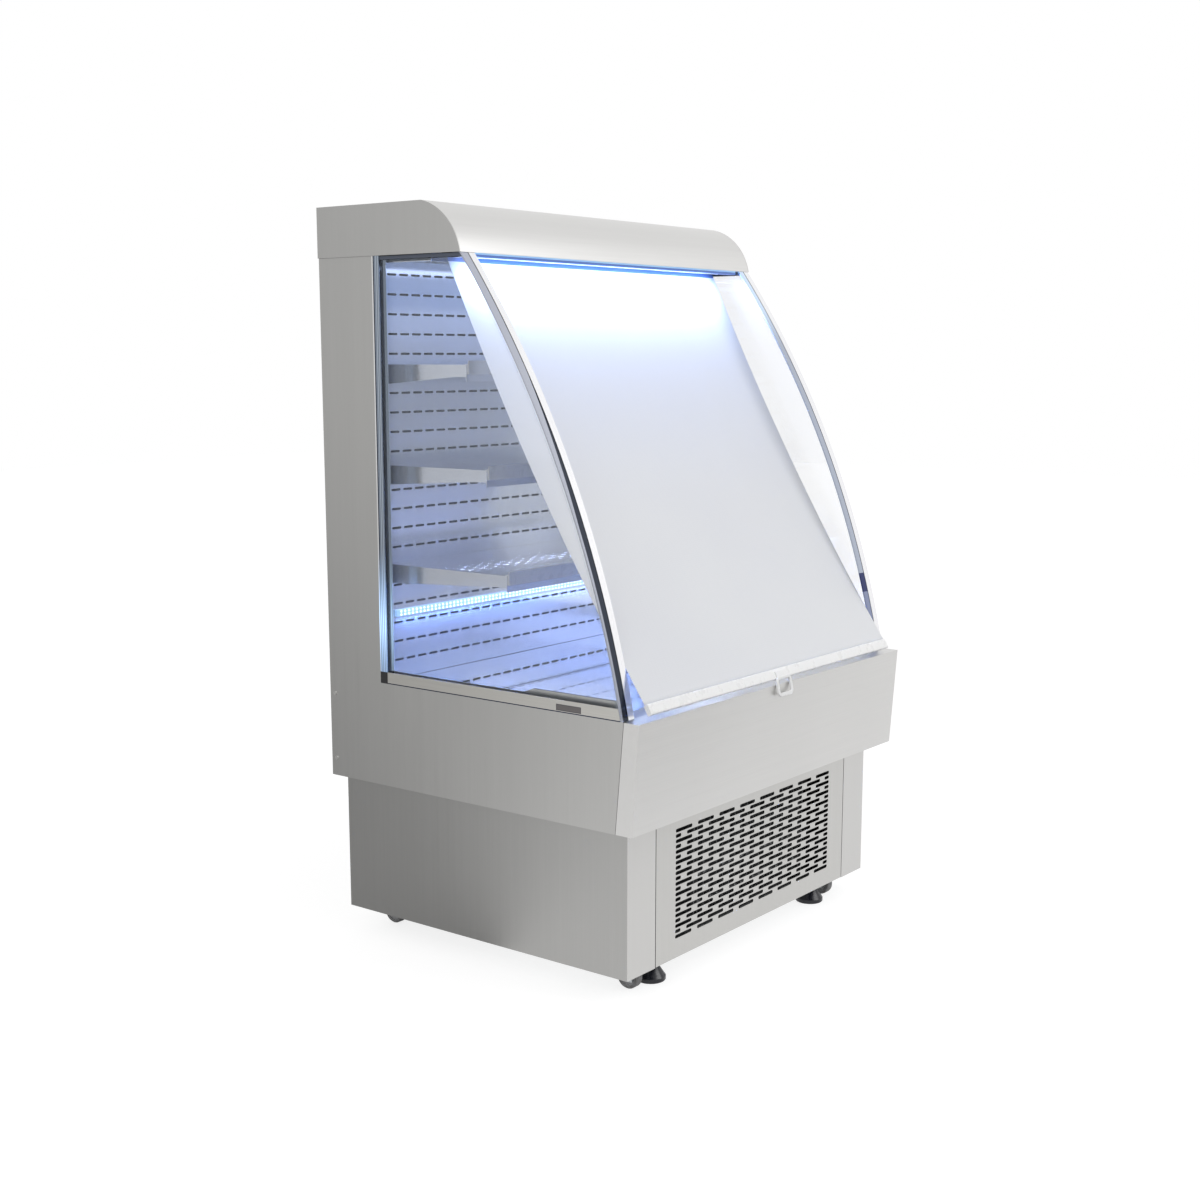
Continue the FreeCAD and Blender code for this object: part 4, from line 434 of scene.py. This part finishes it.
def castor_tyre(name):
    """Grey tread with a paler moulded hub, split by the distance from the axle in the side view."""
    tyre = Finish(name, Roughness=0.6)
    height = tyre.compute("SUBTRACT", tyre.axis("Z"), CASTOR_HEIGHT)
    halfway = (CASTOR_REAR + CASTOR_FRONT) / 2
    from_middle = tyre.compute("ABSOLUTE", tyre.compute("SUBTRACT", tyre.axis("Y"), halfway))
    behind = tyre.compute("SUBTRACT", from_middle, (CASTOR_REAR - CASTOR_FRONT) / 2)
    reach = tyre.compute("SQRT", tyre.compute("ADD", tyre.compute("MULTIPLY", height, height),
                                      tyre.compute("MULTIPLY", behind, behind)))
    dirt = tyre.noise((120.0, 120.0, 120.0), 4.0, 0.6)
    tread = tyre.mix(tyre.span(dirt, 0.4, 0.7), (0.30, 0.30, 0.31), (0.19, 0.18, 0.17))
    past_hub = tyre.span(reach, HUB_RADIUS, HUB_RADIUS + 0.0005)
    tyre.set("Base Color", tyre.mix(past_hub, (0.46, 0.46, 0.47), tread))
    tyre.bump(dirt, 0.2, 0.0004)
    return tyre


def lamp_cover(name, strength):
    """Milky diffuser of a light bar, lit from inside: pale at its upper half and deep blue along its lower
    edge under the hood, even on the others; the bar under the shelf has a plain housing on top."""
    cover = Finish(name, Roughness=0.35, Emission_Strength=strength)
    along = cover.noise((9.0, 4.0, 4.0), 2.0, 0.5)
    glow = cover.mix(cover.span(along, 0.35, 0.65), (0.34, 0.60, 1.0), (0.42, 0.70, 1.0))
    height = cover.axis("Z")
    glow = cover.mix(cover.within(height, 1.41, 1.4222), glow, (0.08, 0.17, 0.50))
    housing = cover.within(height, 0.8030, 0.82)
    cover.set("Base Color", cover.mix(housing, cover.mix(0.6, glow, (0.0, 0.0, 0.0)), (0.30, 0.32, 0.36)))
    cover.set("Emission Color", cover.mix(housing, glow, (0.0, 0.0, 0.0)))
    return cover


def blind_weave(name):
    """Reflective perforated weave on the cloth's own UV map: fine holes and faint cross bands. The canopy
    lamp's light is painted on it as a cool tint and a glow that fade downwards, and a deep blue shade is
    painted along its top under the hood."""
    cloth = Finish(name, Roughness=0.55)
    uv = cloth.node("ShaderNodeUVMap", uv_map="cloth").outputs[0]
    parts = cloth.node("ShaderNodeSeparateXYZ", [(0, uv)])
    u, v = parts.outputs[0], parts.outputs[1]
    thread = 1400.0
    warp = cloth.compute("SINE", cloth.compute("MULTIPLY", u, thread))
    weft = cloth.compute("SINE", cloth.compute("MULTIPLY", v, thread))
    holes = cloth.span(cloth.compute("MULTIPLY", warp, weft), 0.55, 0.95)
    spread = cloth.node("ShaderNodeMapping", [(0, uv), (3, (1.4, 2.2, 1.0))]).outputs[0]
    inputs = [("Vector", spread), ("Scale", 1.0), ("Detail", 2.0)]
    clouds = cloth.node("ShaderNodeTexNoise", inputs).outputs["Fac"]
    high = cloth.span(v, 0.35, BLIND_RUN, 0.0, 1.0, smooth=True)
    plain = cloth.mix(cloth.span(clouds, 0.35, 0.7), (0.82, 0.83, 0.85), (0.78, 0.79, 0.83))
    cool = cloth.mix(high, plain, (0.74, 0.79, 0.95))
    woven = cloth.mix(cloth.compute("MULTIPLY", holes, 0.25), cool, (0.52, 0.54, 0.60))
    in_shade = cloth.compute("GREATER_THAN", v, SHADED_TOP)
    cloth.set("Base Color", cloth.mix(in_shade, woven, (0.10, 0.20, 0.55)))
    top = cloth.span(v, BLIND_RUN - 0.24, BLIND_RUN - 0.03, 0.0, 0.34, smooth=True)
    top = cloth.compute("MULTIPLY", top, cloth.compute("SUBTRACT", 1.0, in_shade))
    cloth.set("Emission Color", cloth.mix(top, (0.0, 0.0, 0.0), (0.50, 0.80, 1.0)))
    cloth.set("Emission Strength", 0.35)
    cloth.bump(cloth.compute("ADD", warp, weft), 0.08, 0.0003)
    return cloth


# ---------------------------------------------------------------- meshes

def new_piece(name, points, faces, material, uv=None, smooth=True):
    """Object at the origin from an array of points and an array of quads, with an optional UV per point."""
    mesh = bpy.data.meshes.new(name)
    mesh.from_pydata(points.reshape(-1, 3).tolist(), [], faces.tolist())
    if uv is not None:
        layer = mesh.uv_layers.new(name="cloth")
        corners = np.empty(len(mesh.loops), dtype=np.int32)
        mesh.loops.foreach_get("vertex_index", corners)
        layer.data.foreach_set("uv", uv.reshape(-1, 2)[corners].astype(np.float32).ravel())
    mesh.materials.append(material)
    mesh.update()
    if smooth:
        mesh.shade_smooth()
    piece = bpy.data.objects.new(name, mesh)
    bpy.context.collection.objects.link(piece)
    return piece


def grid_faces(rows, columns):
    """Quads of a grid of points."""
    row = np.arange(rows - 1)[:, None]
    column = np.arange(columns - 1)[None, :]
    ahead = row + 1
    quads = [row * columns + column, row * columns + column + 1, ahead * columns + column + 1,
             ahead * columns + column]
    return np.stack(np.broadcast_arrays(*quads), axis=-1).reshape(-1, 4)


def along_blind(run, out=0.0):
    """Y and Z of a place on the drawn blind: run metres up from the bar, out metres to the front."""
    sine, cosine = math.sin(BLIND_LEAN), math.cos(BLIND_LEAN)
    return BLIND_FOOT[0] + run * sine - out * cosine, BLIND_FOOT[1] + run * cosine + out * sine


def hemmed(half, count):
    """Even places over a width, with one more close to each end so that the edge of the cloth stays crisp."""
    inner = np.linspace(-half, half, count)
    return np.sort(np.concatenate([inner, [0.0008 - half, half - 0.0008]]))


def drawn_cloth(material):
    """Cloth that hangs between the bar and the roller.

    Point (u, v): x = u over the width, v metres up the run. With share = (v - start) / (end - start) it
    leaves the straight line by -4 sag share (1 - share), the dip of its own weight, plus a shallow crown
    a cos(pi u / width) sin(pi share) and two faint ripples that fade towards the bar and the roller.
    """
    start, end = BAR_TO_CLOTH, BLIND_RUN
    v = np.linspace(start, end, 121)[:, None]
    u = hemmed(BLIND_HALF_WIDTH, 97)[None, :]
    share = (v - start) / (end - start)
    hold = np.sin(np.pi * share)
    crown = 0.0012 * np.cos(np.pi * u / (2 * BLIND_HALF_WIDTH)) * hold
    ripple = 0.0006 * np.sin(23.0 * u + 4.0 * share) * hold + 0.0004 * np.sin(51.0 * u - 7.0 * share) * hold
    out = crown + ripple - 4 * CLOTH_SAG * share * (1 - share)
    y, z = along_blind(v, out)
    points = np.stack([u + 0 * y, y, z], axis=-1)
    uv = np.stack(np.broadcast_arrays(u, v + 0 * u), axis=-1)
    cloth = new_piece("night_blind_cloth", points, grid_faces(v.size, u.size), material, uv)
    wall = cloth.modifiers.new("cloth_thickness", "SOLIDIFY")
    wall.thickness = 0.0006
    wall.offset = 0.0
    length = float(np.hypot(np.diff(y[:, 0]), np.diff(z[:, 0])).sum())
    return cloth, length


def wound_cloth(material):
    """Cloth wound on the roller: a spiral r = r0 + pitch * turn, carried along X."""
    low, high = ROLLER_BOX
    centre_y, centre_z = (low.y + high.y) / 2, (low.z + high.z) / 2
    turns, inner, pitch = 3.6, 0.0164, 0.00078
    steps = 174
    angle = np.linspace(0.0, 2 * math.pi * turns, steps)[:, None]
    radius = inner + pitch * angle / (2 * math.pi)
    x = np.linspace(-BLIND_HALF_WIDTH, BLIND_HALF_WIDTH, 9)[None, :]
    y = centre_y + radius * np.cos(angle) + 0 * x
    z = centre_z + radius * np.sin(angle) + 0 * x
    points = np.stack([x + 0 * y, y, z], axis=-1)
    length = np.concatenate([[0.0], np.cumsum(np.hypot(np.diff(y[:, 0]), np.diff(z[:, 0])))])[:, None]
    uv = np.stack(np.broadcast_arrays(x, length), axis=-1)
    roll = new_piece("night_blind_roll", points, grid_faces(steps, 9), material, uv)
    wall = roll.modifiers.new("cloth_thickness", "SOLIDIFY")
    wall.thickness = 0.0004
    wall.offset = 0.0
    return roll, float(length[-1, 0])


def domes(name, centres, normal, radius, material):
    """Rows of small lamp domes: each is a half sphere, r cos(t) out over a ring of r sin(t)."""
    rings, spokes = 4, 10
    tilt = np.linspace(0.0, math.pi / 2, rings)[:, None]
    turn = np.linspace(0.0, 2 * math.pi, spokes, endpoint=False)[None, :]
    normal = np.asarray(normal, float)
    side = np.array([1.0, 0.0, 0.0])
    rise = np.cross(normal, side)
    ring = (np.cos(tilt) + 0 * turn)[..., None] * normal \
        + (np.sin(tilt) * np.cos(turn))[..., None] * side + (np.sin(tilt) * np.sin(turn))[..., None] * rise
    one = ring.reshape(-1, 3) * radius
    centres = np.asarray(centres, float)
    points = (centres[:, None, :] + one[None, :, :]).reshape(-1, 3)
    column = np.arange(spokes)
    ahead = (column + 1) % spokes
    quads = [np.stack([row * spokes + column, (row + 1) * spokes + column, (row + 1) * spokes + ahead,
                       row * spokes + ahead], axis=-1) for row in range(rings - 1)]
    base = [(rings - 1) * spokes + column[::-1]]
    shell = np.concatenate(quads)
    offsets = np.arange(len(centres)) * rings * spokes
    faces = (shell[None, :, :] + offsets[:, None, None]).reshape(-1, 4).tolist()
    caps = (np.asarray(base)[None, 0, :] + offsets[:, None]).tolist()
    mesh = bpy.data.meshes.new(name)
    mesh.from_pydata(points.tolist(), [], faces + caps)
    mesh.materials.append(material)
    mesh.update()
    piece = bpy.data.objects.new(name, mesh)
    bpy.context.collection.objects.link(piece)
    weld(piece)
    return piece


def weld(piece):
    """Merge points that lie together and turn the faces outwards."""
    work = bmesh.new()
    work.from_mesh(piece.data)
    bmesh.ops.remove_doubles(work, verts=work.verts, dist=1e-6)
    bmesh.ops.recalc_face_normals(work, faces=work.faces)
    work.to_mesh(piece.data)
    work.free()
    piece.data.shade_smooth()


# ---------------------------------------------------------------- dressing

def dress_parts():
    """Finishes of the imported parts."""
    # Near black for the seam behind the bumper's folds, and painted shade in the grille's slots.
    seam_gap_and_slot_shade = (0.012, 0.014, 0.022)
    # Painted shade and light: one stainless, darker on the sides and base, lighter on hood and bumper.
    side_steel = brushed("steel_upright_grain", (0.49, 0.487, 0.476), "Z")
    # The front folds of the base's sides are painted lighter: painted light on the faces towards the front.
    lit_base_front = stretch("Y", BASE_FRONT - 0.01, BASE_FRONT + 0.0006)
    base_steel = brushed("steel_base_sides", (0.415, 0.412, 0.403), "Z", patch=lit_base_front,
                         patch_colour=(0.60, 0.595, 0.585))
    hood_steel = brushed("steel_hood", (0.67, 0.665, 0.655), "X")
    bumper_steel = brushed("steel_bumper", (0.66, 0.655, 0.645), "X",
                           patch=bumper_seam, patch_colour=seam_gap_and_slot_shade)
    # The walls of the grille's slots, behind its front face, are painted near black: painted shade.
    grille_steel = brushed("steel_grille", (0.575, 0.57, 0.555), "Z",
                           patch=stretch("Y", GRILLE_FRONT + 0.0002, 0.0), patch_colour=seam_gap_and_slot_shade)
    # The walls of the air wall's slots and its rear face are painted near black: painted shade of the duct.
    wall_steel = brushed("steel_air_wall", (0.62, 0.66, 0.75), "Z", roughness=0.13, metal=0.78,
                         patch=stretch("Y", WALL_FACE + 0.0002, 0.5), patch_colour=(0.02, 0.03, 0.07))
    # The walls of the deck's slots and its underside are painted near black: painted shade of the space
    # below.
    deck_steel = brushed("steel_deck", (0.62, 0.66, 0.75), "X", roughness=0.16, metal=0.78,
                         patch=stretch("Z", 0.40, DECK_UNDERSIDE), patch_colour=(0.02, 0.03, 0.07))
    shelf_steel = brushed("steel_shelves", (0.62, 0.65, 0.72), "X", roughness=0.2, metal=0.85)
    side_steel.wear(both("well_side_panel") + both("column_side_panel") + both("hood_side_cap"))
    base_steel.wear(both("base_side_panel"))
    hood_steel.wear(["hood_cover"])
    bumper_steel.wear(["front_bumper_panel"])
    grille_steel.wear(["grille_panel"])
    wall_steel.wear(["back_wall_panel", "shelf_uprights"])
    deck_steel.wear(["deck_panel"])
    shelf_steel.wear(["shelf_top", "shelf_middle", "shelf_bottom", "hood_soffit"])
    foot_rail("satin_foot_rail").wear(both("glass_bottom_rail"))
    rear_channel("polished_rear_channel").wear(both("glass_rear_channel"))
    curved_strip("polished_curved_strip").wear(both("glass_front_trim"))
    pane_glass("side_pane").wear(both("side_glass"))
    galvanised("zinc_sheet", (0.50, 0.52, 0.53)).wear(["base_tray", "base_rear_panel", "fan_plate"])
    fins("coil_fins", (0.34, 0.35, 0.36)).wear(["condenser_coil", "evaporator_coil"])
    shaded_liner("well_liner", (0.55, 0.57, 0.62), (0.03, 0.04, 0.10), "Z", LINER_RIM).wear(["well_tub"])
    shaded_liner("rear_foamed_sheet", (0.58, 0.58, 0.57), (0.03, 0.04, 0.10), "Y",
                 REAR_SHEET_FACE).wear(["rear_insulated_panel"])
    moulded("foot_moulding", (0.008, 0.009, 0.016), 0.25).wear(both("levelling_foot"))
    moulded("black_moulding", (0.018, 0.018, 0.02), 0.42).wear(
        ["condensate_pan", "condenser_fan", "power_switch", "power_inlet", "blind_brackets"]
        + both("evaporator_fan"))
    moulded("black_rubber", (0.02, 0.02, 0.022), 0.7, 500.0).wear(["rail_corner_blocks"])
    powder_coat("compressor_enamel", (0.02, 0.02, 0.022), 0.3).wear(["compressor"])
    moulded("grey_box", (0.48, 0.49, 0.50), 0.5).wear(["control_box"])
    moulded("white_bar", (0.96, 0.96, 0.96), 0.30, scuffed=0.995).wear(["blind_bottom_bar"])
    moulded("white_handle", (0.93, 0.93, 0.93), 0.32, scuffed=0.98).wear(["blind_handle"])
    moulded("label_rail", (0.62, 0.64, 0.68), 0.3, scuffed=0.95).wear(
        ["price_rail_top", "price_rail_middle", "price_rail_bottom"])
    moulded("honeycomb_plastic", (0.60, 0.64, 0.70), 0.5).wear(["air_outlet_honeycomb"])
    brushed("roller_tube", (0.60, 0.61, 0.62), "X", 0.4).wear(["blind_roller_tube"])
    brushed("screw_zinc", (0.62, 0.62, 0.60), "X", 0.3).wear(["panel_screws"])
    castor_tyre("castor_tread").wear([f"castor_wheel_{end}_{side}" for end in ("rear", "front")
                                      for side in ("left", "right")])
    lamp_cover("lamp_diffuser", 0.7).wear(["cabinet_lights", "shelf_light"])


def dress_blind():
    """The night blind's cloth, drawn and wound."""
    weave = blind_weave("blind_weave").material
    cloth, hung = drawn_cloth(weave)
    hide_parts("blind_fabric")
    roll, wound = wound_cloth(weave)
    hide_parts("blind_fabric")
    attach(cloth, "cabinet")
    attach(roll, "blind_roller")
    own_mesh(cloth)


def lamp_rows(name, low, high, rise, normal, at_y, count, material):
    """Two rows of lamp domes on one face of a light bar."""
    places = np.linspace(low.x + 0.012, high.x - 0.012, count)
    rows = [[x, at_y, level] for level in (low.z + rise, high.z - rise) for x in places]
    dots = domes(name, rows, normal, 0.0018, material)
    return dots


def dress_lamps():
    """Rows of small lamps on the light bars, on the body that carries each bar."""
    lit = Finish("lamp_dot", Roughness=0.3, Emission_Strength=3.2)
    flicker = lit.noise((180.0, 180.0, 180.0), 1.0, 0.5)
    glow = lit.mix(lit.span(flicker, 0.3, 0.7), (0.72, 0.86, 1.0), (0.86, 0.94, 1.0))
    lit.set("Base Color", glow)
    lit.set("Emission Color", glow)
    low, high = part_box("shelf_light")
    shelf_dots = lamp_rows("shelf_lamp_dots", low, high, 0.003, (0.0, 1.0, 0.0), high.y, 42, lit.material)
    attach(shelf_dots, "shelf_bottom_unit")
    half_width, half_height = WALL_LIGHT_HALF
    wall_low = Vector((-half_width, WALL_FACE - half_height, WALL_LIGHT_HEIGHT - half_height))
    wall_high = Vector((half_width, WALL_FACE, WALL_LIGHT_HEIGHT + half_height))
    wall_dots = lamp_rows("wall_lamp_dots", wall_low, wall_high, 0.0035, (0.0, -1.0, 0.0), wall_low.y, 72,
                          lit.material)
    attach(wall_dots, "cabinet")


def area_lamp(name, size, place, target, power, colour=(1.0, 1.0, 1.0)):
    """Soft rectangular lamp that looks at a point."""
    light = bpy.data.lights.new(name, "AREA")
    light.shape = "RECTANGLE"
    light.size, light.size_y = size
    light.energy = power
    light.color = colour
    lamp = bpy.data.objects.new(name, light)
    bpy.context.collection.objects.link(lamp)
    lamp.location = place
    lamp.rotation_euler = (Vector(target) - Vector(place)).to_track_quat("-Z", "Y").to_euler()
    return lamp


def inner_lamp(name, size, place, target, power, colour):
    """Unseen lamp inside the cabinet, placed and aimed by depth from the rear and height."""
    stands = (0.0, HALF_DEPTH - place[0], place[1])
    aims = (0.0, HALF_DEPTH - target[0], target[1])
    area_lamp(name, size, stands, aims, power, colour).visible_camera = False


def shade_tree(block, shader):
    """Nodes, links and a named shader of a world or material that is switched to nodes."""
    block.use_nodes = True
    return block.node_tree.nodes, block.node_tree.links, block.node_tree.nodes[shader]


def arithmetic(nodes, links, operation, first, second=0.0):
    """One step of arithmetic on outputs or numbers."""
    made = nodes.new("ShaderNodeMath")
    made.operation = operation
    for socket, value in zip(made.inputs, (first, second)):
        if isinstance(value, bpy.types.NodeSocket):
            links.new(value, socket)
        else:
            socket.default_value = value
    return made.outputs[0]


def ramp(nodes, links, value, low, high, out_low, out_high):
    """Value mapped from one range to another and held at its ends."""
    made = nodes.new("ShaderNodeMapRange")
    for socket, number in zip(made.inputs[1:5], (low, high, out_low, out_high)):
        socket.default_value = number
    links.new(value, made.inputs[0])
    return made.outputs[0]


def seen_by(nodes, links, *rays):
    """1 for any of the named kinds of ray, else 0."""
    path = nodes.new("ShaderNodeLightPath")
    found = path.outputs[rays[0]]
    for ray in rays[1:]:
        found = arithmetic(nodes, links, "MAXIMUM", found, path.outputs[ray])
    return found


def pale_world():
    """White for what the camera and glass see, softer as a light, and for metal a little dimmer towards the
    rear on both sides: share over y / |x| of the direction."""
    world = bpy.data.worlds.new("studio")
    bpy.context.scene.world = world
    nodes, links, shown = shade_tree(world, "Background")
    shown.inputs[0].default_value = (1.0, 1.0, 1.0, 1.0)
    direction = nodes.new("ShaderNodeTexCoord")
    split = nodes.new("ShaderNodeSeparateXYZ")
    links.new(direction.outputs["Generated"], split.inputs[0])
    sideways = arithmetic(nodes, links, "ABSOLUTE", split.outputs[0])
    rearwards = arithmetic(nodes, links, "DIVIDE", split.outputs[1],
                           arithmetic(nodes, links, "MAXIMUM", sideways, 0.05))
    extra_in_metal = ramp(nodes, links, rearwards, 0.80, 1.12, 0.45, 0.02)
    seen_straight = seen_by(nodes, links, "Is Camera Ray", "Is Transmission Ray")
    plain = ramp(nodes, links, seen_straight, 0.0, 1.0, 0.55, 1.0)
    mirrored = arithmetic(nodes, links, "MULTIPLY", seen_by(nodes, links, "Is Glossy Ray"), extra_in_metal)
    links.new(arithmetic(nodes, links, "ADD", plain, mirrored), shown.inputs[1])


def floor_share(nodes, links):
    """How much of the floor's glow metal sees. Beside the cabinet it falls with the direction towards the
    rear, y / (|x| - 0.5), like a room that is dim behind the object, and comes back far out; in front it
    falls towards the left end in the same way."""
    place = nodes.new("ShaderNodeTexCoord")
    split = nodes.new("ShaderNodeSeparateXYZ")
    links.new(place.outputs["Object"], split.inputs[0])
    x, y = split.outputs[0], split.outputs[1]
    beside = arithmetic(nodes, links, "SUBTRACT", arithmetic(nodes, links, "ABSOLUTE", x),
                        BODY_HALF_WIDTH)
    rearwards = arithmetic(nodes, links, "DIVIDE", y, arithmetic(nodes, links, "MAXIMUM", beside, 0.05))
    dim = ramp(nodes, links, rearwards, 0.45, 1.2, 0.0, 0.84)
    dim = arithmetic(nodes, links, "MULTIPLY", dim, ramp(nodes, links, beside, 0.3, 1.0, 0.86, 1.0))
    near = ramp(nodes, links, beside, 2.0, 6.5, 1.0, 0.55)
    at_side = arithmetic(nodes, links, "SUBTRACT", 1.0, arithmetic(nodes, links, "MULTIPLY", dim, near))
    ahead = arithmetic(nodes, links, "SUBTRACT", FLOOR_FRONT, y)
    rightwards = arithmetic(nodes, links, "DIVIDE", x, arithmetic(nodes, links, "MAXIMUM", ahead, 0.05))
    at_front = ramp(nodes, links, rightwards, 1.0, 1.8, 0.45, 1.0)
    front_dim = arithmetic(nodes, links, "SUBTRACT", 1.0, at_front)
    front_dim = arithmetic(nodes, links, "MULTIPLY", front_dim, ramp(nodes, links, ahead, 0.5, 1.2, 0.0, 1.0))
    return arithmetic(nodes, links, "SUBTRACT", at_side, front_dim)


def pale_floor():
    """Matt floor with a glow for the camera, and a weaker and uneven one for metal."""
    pale = bpy.data.materials.new("pale_floor")
    nodes, links, matt = shade_tree(pale, "Principled BSDF")
    matt.inputs["Base Color"].default_value = (0.32, 0.32, 0.32, 1.0)
    matt.inputs["Roughness"].default_value = 0.9
    shown = arithmetic(nodes, links, "MULTIPLY", seen_by(nodes, links, "Is Camera Ray"), 0.80)
    mirrored = arithmetic(nodes, links, "MULTIPLY", seen_by(nodes, links, "Is Glossy Ray"),
                          floor_share(nodes, links))
    mirrored = arithmetic(nodes, links, "MULTIPLY", mirrored, 0.72)
    glow = nodes.new("ShaderNodeEmission")
    glow.inputs[0].default_value = (1.0, 1.0, 1.0, 1.0)
    links.new(arithmetic(nodes, links, "ADD", shown, mirrored), glow.inputs[1])
    summed = nodes.new("ShaderNodeAddShader")
    links.new(matt.outputs[0], summed.inputs[0])
    links.new(glow.outputs[0], summed.inputs[1])
    links.new(summed.outputs[0], nodes["Material Output"].inputs[0])
    return pale


def studio():
    """Pale floor and world, soft lamps outside and the cool lamps of the cabinet."""
    pale_world()
    half = 14.0
    corners = np.array([[-half, -half, 0.0], [half, -half, 0.0], [half, half, 0.0], [-half, half, 0.0]])
    floor = new_piece("studio_floor", corners, np.array([[0, 1, 2, 3]]), pale_floor(), smooth=False)
    area_lamp("key_lamp", (3.0, 3.0), (1.6, -4.2, 3.4), (0.0, 0.0, 0.8), 90.0)
    area_lamp("side_lamp", (3.0, 3.0), (-4.4, -0.6, 2.8), (0.0, 0.0, 0.8), 50.0)
    cool, grey_blue, deep_blue = (0.50, 0.66, 1.0), (0.62, 0.72, 1.0), (0.16, 0.32, 1.0)
    cavity_grey = (0.86, 0.90, 1.0)
    inner_lamp("canopy_glow", (0.86, 0.03), (0.360, 1.402), (0.120, 1.00), 2.2, cool)
    inner_lamp("soffit_glow", (0.86, 0.10), (0.250, 1.408), (0.230, 0.90), 0.7, grey_blue)
    inner_lamp("cavity_glow", (0.84, 0.60), (0.375, 1.080), (0.120, 1.06), 0.45, cavity_grey)
    inner_lamp("shelf_glow", (0.80, 0.02), (0.415, 0.785), (0.300, 0.50), 3.4, grey_blue)
    inner_lamp("wall_glow", (0.84, 0.01), (0.130, 0.690), (0.125, 0.50), 1.6, deep_blue)


def camera():
    """Camera at the photograph's angle, with the turn to the left and the tilt down in degrees."""
    turn, tilt = 52.40, 9.66
    data = bpy.data.cameras.new("photo_camera")
    data.sensor_width = 36.0
    data.lens = 50.17
    data.shift_y = 0.0333
    data.clip_end = 60.0
    view = bpy.data.objects.new("photo_camera", data)
    view.location = (-2.900, -2.158, 1.232)
    view.rotation_euler = (math.radians(90.0 - tilt), 0.0, math.radians(-turn))
    bpy.context.collection.objects.link(view)
    bpy.context.scene.camera = view


camera()
bpy.context.scene.view_settings.view_transform = "Standard"
dress_parts()
dress_blind()
dress_lamps()
studio()
